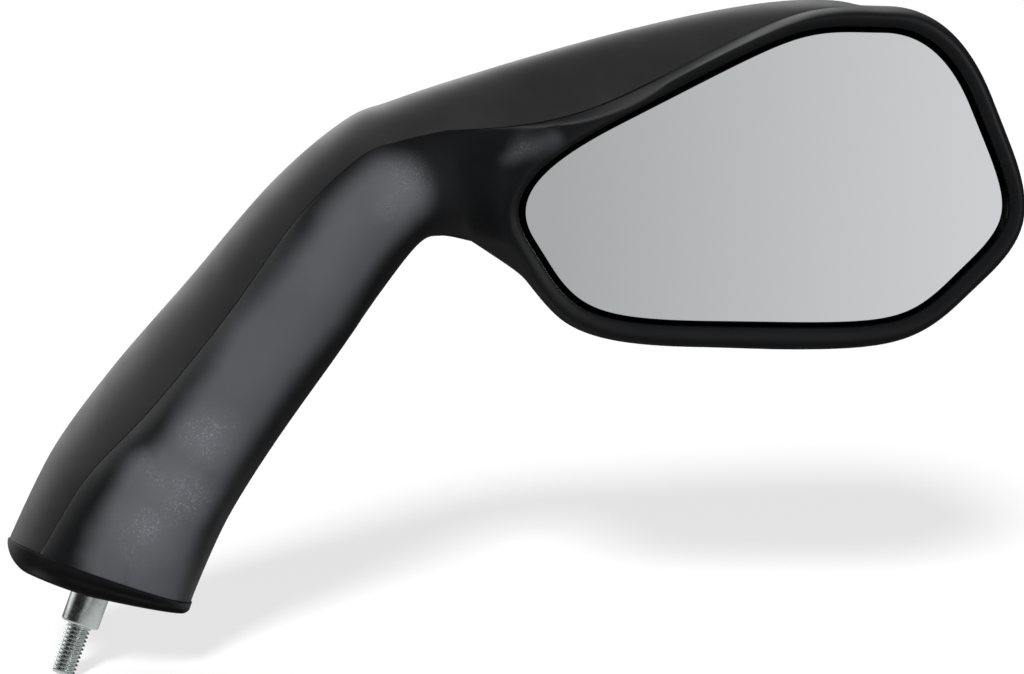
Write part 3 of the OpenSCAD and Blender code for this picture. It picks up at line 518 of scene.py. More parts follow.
def front_shell_mesh():
    rays = [front_ray(i) for i in range(RAYS)]
    outer_n, inner_n, wide = len(rays[0][0]), len(rays[0][1]), ACROSS + 1
    arm = [Station(s / STATIONS) for s in range(STATIONS)]
    arm_outer = [trimmed(p, s / STATIONS) for s, st in enumerate(arm) for p in front_arc(st, 0)]
    arm_inner = [trimmed(p, s / STATIONS) for s, st in enumerate(arm) for p in front_arc(st, WALL)]
    points = [p for r in rays for p in r[0]] + [p for r in rays for p in r[1]] + arm_outer + arm_inner
    b1 = RAYS * outer_n
    b2 = b1 + RAYS * inner_n
    b3 = b2 + STATIONS * wide
    trip = [i % RAYS for i in range(RAYS + 1)]
    outer_rim = [i * outer_n + outer_n - 1 for i in trip]
    inner_rim = [b1 + i * inner_n + inner_n - 1 for i in trip]
    neck_outer = [outer_rim[ACROSS - k] for k in range(wide)]
    neck_inner = [inner_rim[ACROSS - k] for k in range(wide)]
    left_outer = [b2 + s * wide for s in range(STATIONS)] + [neck_outer[0]]
    left_inner = [b3 + s * wide for s in range(STATIONS)] + [neck_inner[0]]
    right_outer = [b2 + s * wide + ACROSS for s in range(STATIONS)] + [neck_outer[-1]]
    right_inner = [b3 + s * wide + ACROSS for s in range(STATIONS)] + [neck_inner[-1]]
    last_outer = [b2 + (STATIONS - 1) * wide + k for k in range(wide)]
    last_inner = [b3 + (STATIONS - 1) * wide + k for k in range(wide)]
    faces = []
    for i in range(RAYS):
        for j in range(outer_n - 1):
            p, q = i * outer_n + j, ((i + 1) % RAYS) * outer_n + j
            faces.append((p, p + 1, q + 1, q))
        for j in range(inner_n - 1):
            p, q = b1 + i * inner_n + j, b1 + ((i + 1) % RAYS) * inner_n + j
            faces.append((q, q + 1, p + 1, p))
    faces += grid(STATIONS, wide, b2, flip=True) + strip(last_outer, neck_outer, flip=True)
    faces += grid(STATIONS, wide, b3) + strip(last_inner, neck_inner)
    faces += strip([i * outer_n for i in trip], [b1 + i * inner_n for i in trip])
    faces += strip(outer_rim[ACROSS:], inner_rim[ACROSS:], flip=True)
    faces += strip(left_outer, left_inner, flip=True) + strip(right_outer, right_inner)
    faces += strip([b2 + k for k in range(wide)], [b3 + k for k in range(wide)])
    faces = turned(faces)
    seams = [left_outer, right_outer, outer_rim[ACROSS:], [b2 + k for k in range(wide)]]
    points = np.array(points, float)
    soft = np.zeros(len(points))
    for i in range(RAYS):
        for j in range(outer_n - 1):
            soft[i * outer_n + j] = smooth(clamp((j - EDGE_HELD) / EDGE_BAND))
    soft[outer_rim[1:ACROSS]] = 1
    soft[b2:b3] = 1
    middle = (NECK_LOW + NECK_TOP) / 2
    away = np.hypot(points[:, 0] - middle[0], points[:, 2] - middle[1])
    soft *= [smooth(clamp((NECK_REACH - d) / NECK_BAND)) for d in away]
    held = sorted({p for run in seams for p in run})
    near = np.min(np.linalg.norm(points[:, None] - points[held][None, ::2], axis=2), axis=1)
    soft *= np.clip(near / NECK_HOLD, 0, 1)
    soft[held] = 0
    return relax(points, faces, soft * EASE, NECK_ROUNDS) + SEAT, faces, seams


def round_edges(piece, seams, width):
    """Rounds the edges that lie along the given runs of points."""
    pairs = {frozenset((a, b)) for run in seams for a, b in zip(run, run[1:])}
    weight = piece.data.attributes.new("bevel_weight_edge", "FLOAT", "EDGE")
    keys = [frozenset(e.vertices) for e in piece.data.edges]
    weight.data.foreach_set("value", [1.0 if k in pairs else 0.0 for k in keys])
    bevel = piece.modifiers.new("Rounding", "BEVEL")
    bevel.limit_method = "WEIGHT"
    bevel.width = width
    bevel.segments = 3
    bevel.use_clamp_overlap = True
    bevel.harden_normals = False
    apply_modifiers(piece)


# Rear shell

def back_tables():
    tip = int(np.argmax(RIM[:, 0]))
    top = list(range(ACROSS, tip + 1))
    low = [i % RAYS for i in range(RAYS, tip - 1, -1)]
    past = range(ACROSS + EDGE_STEPS + CORNER_STEPS + 1, tip + 1)
    steps = 48
    crest_line = [crest(k / steps) for k in range(steps + 1)] + [RIM[i][[0, 2]] for i in past]
    return {
        "top_z": RIM[top][:, [0, 2]], "top_y": RIM[top][:, [0, 1]], "top_tuck": RIM[top][:, [0, 3]],
        "low_z": RIM[low][:, [0, 2]], "low_y": RIM[low][:, [0, 1]], "crest_z": np.array(crest_line),
        "end": RIM[tip][0] - TIP_GAP}


TABLES = back_tables()
HEAD_END = TABLES["end"]


def lookup(x, name):
    table = TABLES[name]
    return float(np.interp(x, table[:, 0], table[:, 1]))


def head_mid_y(f):
    return mix(NECK.wide_y, CORNER_Y[3] + 1, f)


def head_back_y(f):
    y = head_mid_y(f)
    return y + (BACK_Y - y) * math.sqrt(1 - TIP_CLOSE * f ** 3)


def arm_back(st):
    return (st.parting, st.left, st.right, st.parting_y, st.wide_y, st.wide_y, st.rear_y, st.tuck)


def head_back(f):
    xp, xc, xl = (mix(p[0], HEAD_END, f) for p in (NECK_TOP, CREST_FROM, NECK_LOW))
    top_y = lookup(xp, "top_y")
    return (np.array([xp, lookup(xp, "top_z")]), np.array([xc, lookup(xc, "crest_z")]),
            np.array([xl, lookup(xl, "low_z")]), top_y, max(head_mid_y(f), top_y), lookup(xl, "low_y"),
            head_back_y(f), lookup(xp, "top_tuck"))


def back_arc(b, w):
    parting_at, crest_at, low_at, parting_y, crest_y, low_y, back_y, g = b
    d = unit(low_at - crest_at)
    p = parting_at + d * (w * math.cos(g) - PARTING * math.sin(g))
    yp = parting_y + w * (math.sin(g) + SEAM_DRAFT) + PARTING * math.cos(g)
    c, low, yl, yb = crest_at + d * w, low_at - d * w, low_y + PARTING + w * SEAM_DRAFT, back_y - w
    found = []
    turn = math.radians(BACK_TURN)
    for k in range(TURN_STEPS):
        a = turn * (1 - k / TURN_STEPS)
        q = mix(c, p, (1 - math.cos(a)) / (1 - math.cos(turn)))
        found.append([q[0], mix(crest_y, yp, math.sin(a) / math.sin(turn)), q[1]])
    for k in range(BACK_STEPS + 1):
        a = math.pi * k / BACK_STEPS
        ca = math.cos(a)
        share = (1 - math.copysign(abs(ca) ** (2 / BACK_N), ca)) / 2
        q = mix(c, low, share)
        y = mix(crest_y, yl, share)
        found.append([q[0], y + (yb - y) * max(0.0, math.sin(a)) ** (2 / BACK_N), q[1]])
    return np.array(found)


def rear_shell_mesh():
    wide = TURN_STEPS + BACK_STEPS + 1
    rows = STATIONS + HEAD_STEPS + 1
    head_f = [1 - (1 - k / HEAD_STEPS) ** 1.5 for k in range(1, HEAD_STEPS + 1)]
    arm = [(s / STATIONS, arm_back(Station(s / STATIONS))) for s in range(STATIONS + 1)]
    outer = [trimmed(p, t) for t, b in arm for p in back_arc(b, 0)]
    outer += [p for f in head_f for p in back_arc(head_back(f), 0)]
    inner = [trimmed(p, t) for t, b in arm for p in back_arc(b, WALL)]
    head_in = 1 - TIP_WALL / (HEAD_END - CREST_FROM[0])
    inner += [p for f in head_f for p in back_arc(head_back(head_in * f), WALL)]
    b1, last = rows * wide, (rows - 1) * wide
    first_out = [s * wide for s in range(rows)]
    end_out = [s * wide + wide - 1 for s in range(rows)]
    cap = [last + k for k in range(wide)]
    base = list(range(wide))
    faces = grid(rows, wide, 0) + grid(rows, wide, b1, flip=True)
    faces += strip(first_out, [b1 + p for p in first_out])
    faces += strip(end_out, [b1 + p for p in end_out], flip=True)
    faces += strip(base, [b1 + p for p in base], flip=True)
    faces += [(cap[-1], cap[k], cap[k + 1]) for k in range(wide - 2)]
    faces += [(b1 + cap[k + 1], b1 + cap[k], b1 + cap[-1]) for k in range(wide - 2)]
    faces += [(cap[0], cap[-1], b1 + cap[-1], b1 + cap[0])]
    faces = turned(faces)
    # The bend from the arm into the head is evened out along its length, away from the seams
    points = np.array(outer + inner, float)
    from_neck = np.abs((points[:, [0, 2]] - NECK.left) @ left_of(NECK.across))
    soft = np.array([smooth(clamp((BEND_REACH - d) / BEND_BAND)) for d in from_neck])
    column = np.arange(len(points)) % wide
    soft *= np.clip(np.minimum(column, wide - 1 - column) / BEND_HOLD, 0, 1)
    soft[b1:] = 0
    lengthwise = [(p, p + wide) for p in range(last)]
    return relax(points, lengthwise, soft * EASE, BEND_ROUNDS) + SEAT, faces, [first_out, end_out, base]


def screw_spot(t):
    st = Station(t)
    p = mix(st.parting, st.right, SCREW_ACROSS)
    return p[0] + SEAT[0], st.rear_y + SEAT[1], p[1] + SEAT[2]


def sink_well(piece, x, y, z):
    """A thicker spot in the shell, with a well for a screw head and a hole for the screw."""
    over = 5
    floor_y = y - WELL_DEPTH - WELL_FLOOR
    pad = cylinder_y((x, z), y - WELL_SUNK, floor_y, BOSS_D / 2 + WELL_WALL)
    well = cylinder_y((x, z), y + over, y - WELL_DEPTH, SCREW_HEAD_D / 2 + SCREW_ROOM)
    hole = cylinder_y((x, z), y + over, floor_y - 2, (SCREW_D + SCREW_ROOM) / 2)
    for name, bar, operation in (("pad", pad, "UNION"), ("well", well, "DIFFERENCE"),
                                 ("hole", hole, "DIFFERENCE")):
        boolean(piece, make_mesh(name, *bar), operation)


# Places and reach of the light spots on the front of the arm, partly scuffs and partly painted glints where
# the light falls, the last a painted highlight at the frame's upper-left corner; and of the heel of the foot,
# painted lighter as painted light on its left side
SCUFFS_AND_GLINTS = (
    ((19, -13, 27), 14), ((24, -11, 35), 15), ((32, -9, 46), 12), ((78, 7, 102), 12), ((107, 11, 112), 7))
# Light grey of the spots, partly scuffs and partly painted glints
SCUFF_GLINT_COLOR = (0.2, 0.215, 0.23)
# The heel's lighter grey is painted light on the left side of the foot.
HEEL_LIGHT = (((-17, 2, 24), 13),)
# Where the front is painted lighter, partly dusty grey and partly painted sheen where the front light falls
# on the arm: lines of points, with a core and an edge
FADED_SHEEN = (
    (((20, -14, 10), (22, -13, 28), (28, -10, 40), (35.5, -7, 51), (45, -3, 64.5), (55.5, 1, 78),
      (66, 5, 91.5), (75.5, 6.5, 102)), 6, 13),
    (((9, -12.5, 12), (9.5, -12.5, 19), (19, -11.5, 38)), 3, 9.5),
    # The last line is a painted highlight along the frame's upper-left edge.
    (((103.7, 10.7, 109.1), (113.2, 8.7, 114.7)), 0.5, 5))


# Materials

def new_material(name):
    material = bpy.data.materials.new(name)
    material.use_nodes = True
    tree = material.node_tree
    tree.nodes.clear()
    out = tree.nodes.new("ShaderNodeOutputMaterial")
    shader = tree.nodes.new("ShaderNodeBsdfPrincipled")
    tree.links.new(shader.outputs["BSDF"], out.inputs["Surface"])
    return material, tree, shader


def position(tree, scale=(1, 1, 1)):
    where = tree.nodes.new("ShaderNodeTexCoord")
    mapping = tree.nodes.new("ShaderNodeMapping")
    mapping.inputs["Scale"].default_value = scale
    tree.links.new(where.outputs["Object"], mapping.inputs["Vector"])
    return mapping.outputs["Vector"]


def noise(tree, vector, scale, detail=2.0, roughness=0.5):
    node = tree.nodes.new("ShaderNodeTexNoise")
    node.inputs["Scale"].default_value = scale
    node.inputs["Detail"].default_value = detail
    node.inputs["Roughness"].default_value = roughness
    tree.links.new(vector, node.inputs["Vector"])
    return node.outputs["Fac"]


def ramp(tree, value, stops):
    """A colour ramp; stops are (place, colour or grey)."""
    node = tree.nodes.new("ShaderNodeValToRGB")
    elements = node.color_ramp.elements
    for k, (place, colour) in enumerate(stops):
        e = elements[k] if k < 2 else elements.new(place)
        e.position = place
        e.color = (*colour, 1) if hasattr(colour, "__len__") else (colour, colour, colour, 1)
    tree.links.new(value, node.inputs["Fac"])
    return node.outputs["Color"]


def bump(tree, height, distance, strength, normal=None):
    node = tree.nodes.new("ShaderNodeBump")
    node.inputs["Distance"].default_value = distance
    node.inputs["Strength"].default_value = strength
    tree.links.new(height, node.inputs["Height"])
    if normal is not None:
        tree.links.new(normal, node.inputs["Normal"])
    return node.outputs["Normal"]


def shade(colour, factor):
    return tuple(min(1.0, c * factor) for c in colour)


def math_node(tree, operation, a, b):
    """A Math node; each input is a socket or a number."""
    node = tree.nodes.new("ShaderNodeMath")
    node.operation = operation
    for k, value in enumerate((a, b)):
        if hasattr(value, "default_value"):
            tree.links.new(value, node.inputs[k])
        else:
            node.inputs[k].default_value = value
    return node.outputs["Value"]


def fade(tree, value, start, end):
    """Falls smoothly from 1 to 0 as the value goes from start to end."""
    node = tree.nodes.new("ShaderNodeMapRange")
    node.interpolation_type = "SMOOTHSTEP"
    for name, number in (("From Min", start), ("From Max", end), ("To Min", 1.0), ("To Max", 0.0)):
        node.inputs[name].default_value = number
    tree.links.new(value, node.inputs["Value"])
    return node.outputs["Result"]


def pick(tree, operation, values):
    """The largest or smallest of several sockets."""
    found = values[0]
    for value in values[1:]:
        found = math_node(tree, operation, found, value)
    return found


def vector_node(tree, operation, a, b, output="Vector"):
    """A Vector Math node; each input is a socket, a vector, or for a scale a share."""
    node = tree.nodes.new("ShaderNodeVectorMath")
    node.operation = operation
    entries = (node.inputs[0], node.inputs["Scale"] if operation == "SCALE" else node.inputs[1])
    for entry, value in zip(entries, (a, b)):
        if hasattr(value, "default_value"):
            tree.links.new(value, entry)
        else:
            entry.default_value = value
    return node.outputs[output]


def near_places(tree, at, places):
    """How near a point is to any of the places; each is a centre and a radius in millimetres."""
    shares = []
    for centre, radius in places:
        away = vector_node(tree, "DISTANCE", at, Vector(centre) * MM, "Value")
        shares.append(fade(tree, away, 0.0, radius * MM))
    return pick(tree, "MAXIMUM", shares)


def near_line(tree, at, line, core, edge, sway):
    """1 within the core of a line of points and 0 beyond its edge, in millimetres; the sway moves both."""
    distances = []
    for start, end in zip(line, line[1:]):
        start, along = Vector(start) * MM, (Vector(end) - Vector(start)) * MM
        from_start = vector_node(tree, "SUBTRACT", at, start)
        share = vector_node(tree, "DOT_PRODUCT", from_start, along / along.length_squared, "Value")
        share = math_node(tree, "MINIMUM", math_node(tree, "MAXIMUM", share, 0.0), 1.0)
        closest = vector_node(tree, "SCALE", along, share)
        distances.append(vector_node(tree, "DISTANCE", from_start, closest, "Value"))
    nearest = pick(tree, "MINIMUM", distances)
    return fade(tree, math_node(tree, "ADD", nearest, sway), core * MM, edge * MM)


def blend_colour(tree, share, a, b):
    """A colour between a, a socket or a colour, and b, by a share."""
    node = tree.nodes.new("ShaderNodeMix")
    node.data_type = "RGBA"
    tree.links.new(share, node.inputs["Factor"])
    for socket, value in (("A", a), ("B", b)):
        entry = [i for i in node.inputs if i.name == socket and i.type == "RGBA"][0]
        if hasattr(value, "default_value"):
            tree.links.new(value, entry)
        else:
            entry.default_value = (*value, 1)
    return [o for o in node.outputs if o.type == "RGBA"][0]


def plastic(name, colour, grain_size, grain_depth, roughness, scuff_glint_marks=(), faded_sheen=None, gloss=0.28):
    """Moulded plastic with a fine matt grain, light spots about the listed places that are partly scuffs and
    partly painted glints, and a colour along the listed lines that is partly dusty grey and partly painted
    sheen.
    """
    material, tree, shader = new_material(name)
    at = position(tree)
    cloud = noise(tree, at, 45, 4, 0.6)
    tone = ramp(tree, cloud, [(0.3, shade(colour, 0.8)), (0.7, shade(colour, 1.25))])
    rough = ramp(tree, noise(tree, at, 120, 4), [(0.3, roughness - 0.05), (0.7, roughness + 0.05)])
    # Partly dusty grey and partly painted sheen along the lines.
    if faded_sheen:
        cloudy = math_node(tree, "ADD", math_node(tree, "MULTIPLY", noise(tree, at, 60, 5, 0.65), 0.4), 0.8)
        sway = math_node(tree, "MULTIPLY", math_node(tree, "SUBTRACT", noise(tree, at, 45, 3), 0.5), 6 * MM)
        grey_sheen_share = pick(tree, "MAXIMUM", [near_line(tree, at, *area, sway) for area in FADED_SHEEN])
        tone = blend_colour(tree, math_node(tree, "MULTIPLY", grey_sheen_share, cloudy), tone, faded_sheen)
    # Light spots: partly scuffs, partly painted glints of the grain where the light falls.
    if scuff_glint_marks:
        scuff_glint = fade(tree, noise(tree, at, 2200, 4, 0.75), 0.66, 0.5)
        patch = fade(tree, noise(tree, at, 110, 4, 0.65), 0.66, 0.4)
        glint_specks = math_node(tree, "ADD", math_node(tree, "MULTIPLY", scuff_glint, patch), 0.24)
        share = math_node(tree, "MULTIPLY", glint_specks, near_places(tree, at, scuff_glint_marks))
        tone = blend_colour(tree, share, tone, SCUFF_GLINT_COLOR)
    tree.links.new(tone, shader.inputs["Base Color"])
    tree.links.new(rough, shader.inputs["Roughness"])
    grain = noise(tree, at, 1 / grain_size, 2, 0.6)
    tree.links.new(bump(tree, grain, grain_depth, 1.0), shader.inputs["Normal"])
    shader.inputs["IOR"].default_value = 1.5
    shader.inputs["Specular IOR Level"].default_value = gloss
    return material


def metal(name, colour, roughness):
    """Plated or bare metal, with faint uneven tone."""
    material, tree, shader = new_material(name)
    at = position(tree)
    stops = [(0.35, shade(colour, 0.86)), (0.65, colour)]
    tree.links.new(ramp(tree, noise(tree, at, 420, 4), stops), shader.inputs["Base Color"])
    rough = ramp(tree, noise(tree, at, 900, 3), [(0.3, roughness * 0.75), (0.7, roughness * 1.25)])
    tree.links.new(rough, shader.inputs["Roughness"])
    tree.links.new(bump(tree, noise(tree, at, 1800, 3), 0.00002, 0.6), shader.inputs["Normal"])
    shader.inputs["Metallic"].default_value = 1.0
    return material


def set_material(piece, material):
    piece.data.materials.clear()
    piece.data.materials.append(material)


def finish_piece(piece, body, slot, material, *nodes):
    set_material(piece, material)
    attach(piece, body)
    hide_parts(*nodes)


# Pieces

class MIRROR_OT_front_shell(bpy.types.Operator):
    """Build the front shell: the arm's front and the frame round the glass"""

    bl_idname = "mirror.front_shell"
    bl_label = "Front shell"

    def execute(self, context):
        look = context.scene.mirror_shells
        points, faces, seams = front_shell_mesh()
        piece = make_mesh("front_shell_moulding", points, faces)
        round_edges(piece, seams, look.edge_round)
        piece.data.set_sharp_from_angle(angle=math.radians(SHARP))
        # The front's colour carries painted glints and painted sheen besides its black.
        material = plastic("Grained black plastic", look.front_color, look.grain_size, look.grain_depth,
                           0.5, SCUFFS_AND_GLINTS, look.faded_sheen_color)
        finish_piece(piece, "arm", "black_shell", material, "front_shell")
        return {"FINISHED"}


class MIRROR_OT_rear_shell(bpy.types.Operator):
    """Build the rear shell with its two screw wells"""

    bl_idname = "mirror.rear_shell"
    bl_label = "Rear shell"

    def execute(self, context):
        look = context.scene.mirror_shells
        points, faces, seams = rear_shell_mesh()
        piece = make_mesh("rear_shell_moulding", points, faces)
        round_edges(piece, seams, look.edge_round)
        for t in SCREW_STATIONS:
            sink_well(piece, *screw_spot(t))
        piece.data.shade_smooth()
        piece.data.set_sharp_from_angle(angle=math.radians(SHARP))
        material = plastic("Satin black plastic", look.rear_color, look.grain_size * 0.8,
                           look.grain_depth * 0.5, 0.5, gloss=0.5)
        finish_piece(piece, "arm", "black_shell_smooth", material, "rear_shell")
        return {"FINISHED"}


def foot_outline(w):
    """Outline of the foot end of the arm in the frame of the stud, taken in by w."""
    foot = Station(0)
    front = [trimmed(p, 0) for p in front_arc(foot, w)]
    back = [trimmed(p, 0) for p in back_arc(arm_back(foot), w)]
    return np.array([[(p + SEAT) @ STUD_X, (p + SEAT) @ STUD_Y] for p in front + back[-2:0:-1]])


def foot_floor(x):
    """Height of the underside of the foot at a place along its length, from the collar shoulder."""
    slope = math.radians(FOOT_SLOPE)
    heel_x, toe_x = HEEL_R - FOOT_END, FOOT_END - TOE_R
    toe_z = toe_x * math.tan(slope) + TOE_R / math.cos(slope)
    if x < heel_x:
        z = HEEL_R - math.sqrt(max(0.0, HEEL_R ** 2 - (heel_x - x) ** 2))
    elif x > toe_x + TOE_R * math.sin(slope):
        z = toe_z - math.sqrt(max(0.0, TOE_R ** 2 - (x - toe_x) ** 2))
    else:
        z = max(0.0, x * math.tan(slope))
    return COLLAR_LEN + z


def from_stud(points):
    return np.asarray(points, float) @ STUD_AXES


def foot_rings():
    """Inset, drop from top to underside, and share of the hollow, of each ring round the foot."""
    rings = [(2.5, 0.0, 0.0), (0.35, 0.0, 0.0), (0.08, 0.02, 0.0), (0.0, 0.05, 0.0)]
    sides = 12
    for k in range(1, sides):
        rings.append((0.0, 0.05 + 0.83 * k / sides, math.sin(math.pi * (k / sides) ** 1.5)))
    return rings + [(0.0, 0.9, 0.0), (0.12, 0.96, 0.0), (0.45, 1.0, 0.0)]


def foot_mesh():
    outline = foot_outline(-FOOT_LIP)
    n = len(outline)
    centre = outline.mean(0)
    inward = np.array([unit(centre - p) for p in outline])
    top = COLLAR_LEN + FOOT_T - FOOT_UNDER_ARM
    angle = [math.atan2(p[1], p[0]) for p in outline]
    front = np.clip(-np.sin(angle) * 1.6 - 0.25, 0, 1) * np.clip((outline[:, 0] + 20) / 14, 0, 1)
    rings = foot_rings()
    points = []
    for inset, drop, hollow in rings:
        for k in range(n):
            p = outline[k] + inward[k] * (inset + FOOT_HOLLOW * hollow * front[k])
            points.append([p[0], p[1], top - drop * (top - foot_floor(outline[k][0]))])
    bore, seat = COLLAR_D / 2 + COLLAR_ROOM, FLANGE_D / 2 + FLANGE_ROOM
    for radius, z in ((bore, None), (bore, top - FLANGE_T), (seat, top - FLANGE_T), (seat, top)):
        for a in angle:
            x, y = radius * math.cos(a), radius * math.sin(a)
            points.append([x, y, foot_floor(x) if z is None else z])
    rows = len(rings) + 4
    faces = []
    for i in range(rows):
        here, after = i * n, (i + 1) % rows * n
        faces += [(here + k, after + k, after + (k + 1) % n, here + (k + 1) % n) for k in range(n)]
    return from_stud(points), faces


class MIRROR_OT_foot(bpy.types.Operator):
    """Build the rubber foot between the arm and the fairing"""

    bl_idname = "mirror.foot"
    bl_label = "Foot"

    def execute(self, context):
        look = context.scene.mirror_hardware
        piece = make_mesh("rubber_foot", *foot_mesh())
        material, tree, shader = new_material("Black rubber")
        at = position(tree)
        stops = [(0.3, shade(look.rubber_color, 0.8)), (0.7, shade(look.rubber_color, 1.3))]
        black = ramp(tree, noise(tree, at, 60, 4), stops)
        # The heel is painted lighter: painted light on the left side of the foot.
        heel = near_places(tree, at, HEEL_LIGHT)
        tree.links.new(blend_colour(tree, heel, black, look.heel_light_color), shader.inputs["Base Color"])
        tree.links.new(bump(tree, noise(tree, at, 1600, 3), 0.00003, 0.7), shader.inputs["Normal"])
        shader.inputs["Roughness"].default_value = 0.6
        shader.inputs["Specular IOR Level"].default_value = 0.2
        finish_piece(piece, "mount", "foot_rubber", material, "base_foot")
        return {"FINISHED"}


def thread_radius(z, share, pitch, depth):
    """Radius of the thread at a height and a share of a turn; it runs out at the collar and the tip."""
    crest = THREAD_D / 2
    phase = (z / pitch - share) % 1.0
    tooth = clamp((abs(phase - 0.5) - CREST_FLAT) / THREAD_FLANK)
    grown = clamp(-z / RUNOUT)
    return min(crest - depth * tooth * grown, crest - TIP_CHAMFER + z + THREAD_LEN)


def stud_mesh(pitch, depth):
    sides, steps = 96, 18
    count = int(THREAD_LEN / pitch * steps)
    rings = []
    for i in range(count + 1):
        z = THREAD_LEN * i / count - THREAD_LEN
        rings.append([(thread_radius(z, k / sides, pitch, depth), z) for k in range(sides)])
    seam, collar = COLLAR_LEN + FOOT_T, COLLAR_D / 2
    flange, pivot = FLANGE_D / 2, PIVOT_D / 2
    profile = [
        (THREAD_D / 2, 0.0), (collar - 0.55, 0.0), (collar - 0.3, 0.08), (collar - 0.08, 0.3), (collar, 0.6),
        (collar, seam - FLANGE_T), (flange, seam - FLANGE_T), (flange, seam), (pivot, seam),
        (pivot, STUD_TOP - TIP_CHAMFER), (pivot - TIP_CHAMFER, STUD_TOP)]
    rings += [[at] * sides for at in profile]
    points = []
    for ring in rings:
        for k, (r, z) in enumerate(ring):
            a = 2 * math.pi * k / sides
            points.append([r * math.cos(a), r * math.sin(a), z])
    faces = []
    for i in range(len(rings) - 1):
        for k in range(sides):
            a, b = i * sides + k, i * sides + (k + 1) % sides
            faces.append((a, b, b + sides, a + sides))
    faces.append(tuple(range(sides))[::-1])
    faces.append(tuple((len(rings) - 1) * sides + k for k in range(sides)))
    return from_stud(points), faces


class MIRROR_OT_stud(bpy.types.Operator):
    """Build the stud with its helical mounting thread"""

    bl_idname = "mirror.stud"
    bl_label = "Stud"

    def execute(self, context):
        look = context.scene.mirror_hardware
        points, faces = stud_mesh(look.thread_pitch / MM, look.thread_depth / MM)
        piece = make_mesh("threaded_stud", points, faces, sharp=32)
        zinc = metal("Zinc plated steel", look.zinc_color, 0.24)
        finish_piece(piece, "mount", "zinc_steel", zinc, "pivot_stud")
        return {"FINISHED"}


def glass_mesh(chamfer):
    outline = round_outline(GLASS_PTS, GLASS_HOLD) - GLASS_AT
    n = len(outline)
    rings = 40
    front_y = FACE_Y + GLASS_RECESS
    length = np.linalg.norm(outline, axis=1).reshape(-1, 1)
    inner = outline * (length - chamfer) / length
    loops = [(inner * i / rings, 0.0) for i in range(1, rings + 1)]
    loops += [(outline, chamfer), (outline, GLASS_T - chamfer), (inner, GLASS_T)]
    loops = [(np.zeros((1, 2)), 0.0), *loops, (np.zeros((1, 2)), GLASS_T)]
    points = []
    for loop, y in loops:
        for p in loop:
            sag = GLASS_R - math.sqrt(GLASS_R ** 2 - p @ p)
            points.append([GLASS_AT[0] + p[0], front_y + sag + y, GLASS_AT[1] + p[1]])
    rows = rings + 3
    last = len(points) - 1
    faces = [(0, 1 + k, 1 + (k + 1) % n) for k in range(n)]
    for i in range(rows - 1):
        for k in range(n):
            a, b = 1 + i * n + k, 1 + i * n + (k + 1) % n
            faces.append((a, a + n, b + n, b))
    faces += [(last, last - n + (k + 1) % n, last - n + k) for k in range(n)]
    return np.array(points) + SEAT, faces


class MIRROR_OT_glass(bpy.types.Operator):
    """Build the convex mirror glass with its ground edge"""

    bl_idname = "mirror.glass"
    bl_label = "Glass"

    def execute(self, context):
        look = context.scene.mirror_glass
        points, faces = glass_mesh(look.edge_chamfer / MM)
        piece = make_mesh("convex_glass", points, faces, sharp=25)
        material, tree, shader = new_material("Silvered glass")
        stops = [(0.3, shade(look.silver_color, 0.985)), (0.7, look.silver_color)]
        silver = ramp(tree, noise(tree, position(tree), 6, 2), stops)
        tree.links.new(silver, shader.inputs["Base Color"])
        shader.inputs["Metallic"].default_value = 1.0
        shader.inputs["Roughness"].default_value = 0.015
        finish_piece(piece, "glass", "mirror_silver", material, "mirror_glass")
        return {"FINISHED"}


class MIRROR_OT_inner_parts(bpy.types.Operator):
    """Give the carrier, bracket, screws, washers, nut and springs their finishes"""

    bl_idname = "mirror.inner_parts"
    bl_label = "Inner parts"

    def execute(self, context):
        look = context.scene.mirror_hardware
        zinc = metal("Zinc plated hardware", look.zinc_color, 0.3)
        spring = metal("Oiled spring steel", (0.32, 0.32, 0.33), 0.35)
        alloy = metal("Cast alloy", (0.5, 0.5, 0.52), 0.5)
        black = metal("Black oxide steel", (0.045, 0.045, 0.05), 0.4)
        nylon = plastic("Natural nylon", (0.72, 0.7, 0.62), 0.0006, 0.00001, 0.45)
        moulding = plastic("Plain black moulding", (0.022, 0.022, 0.023), 0.0007, 0.00002, 0.5)
        foam = plastic("Foam tape", (0.03, 0.03, 0.03), 0.0003, 0.00005, 0.85)
        finishes = {
            "friction_washer": nylon, "ball_liner": nylon, "lower_washer": zinc, "upper_washer": zinc,
            "lock_nut": zinc, "plate_screws": zinc, "bracket_screws": zinc, "ball_pin": zinc,
            "pivot_spring": spring, "socket_ring": spring, "pivot_plate": alloy, "shell_screws": black,
            "ball_bracket": moulding, "mirror_carrier": moulding, "adhesive_pad": foam}
        for node, material in finishes.items():
            set_material(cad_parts[node], material)
        return {"FINISHED"}


# Studio

FLOOR_NEAR, FLOOR_FAR, FLOOR_SIDE, FLOOR_DROP = -0.12, 6.0, 4.0, 1.2
DARK_FLOOR = (0.12, 0.12, 0.12)
FLOOR_SHARE, FLOOR_SHINE = 0.62, 1.05
# How far round the stud reflections show the pale floor, and how strongly
PALE_REACH, PALE_SHARE = 130, 0.6
# The grey band that the glass shows: its brightness from one X to another, centre, height, core and edge
BAND_X, BAND_GREY = (-0.067, 0.24), (0.446, 0.71)
BAND_AT, BAND_FLAT, BAND_CORE, BAND_EDGE = (0.09, -0.98, -0.34), 2, 0.3, 0.5
ROOM_DARK = 0.02
# Bright parts of the room that the gloss shows: direction, angles of the core and the edge, strength
GLOWS = (
    ((-0.7, 0.72, 0.35), 15, 60, 1.45),
    ((-0.4, 0.5, 0.75), 12, 50, 1.3),
    ((-0.1, 0.6, 0.8), 10, 40, 0.9))
# Share of them that lights other surfaces
GLOW_SPILL = 0.35
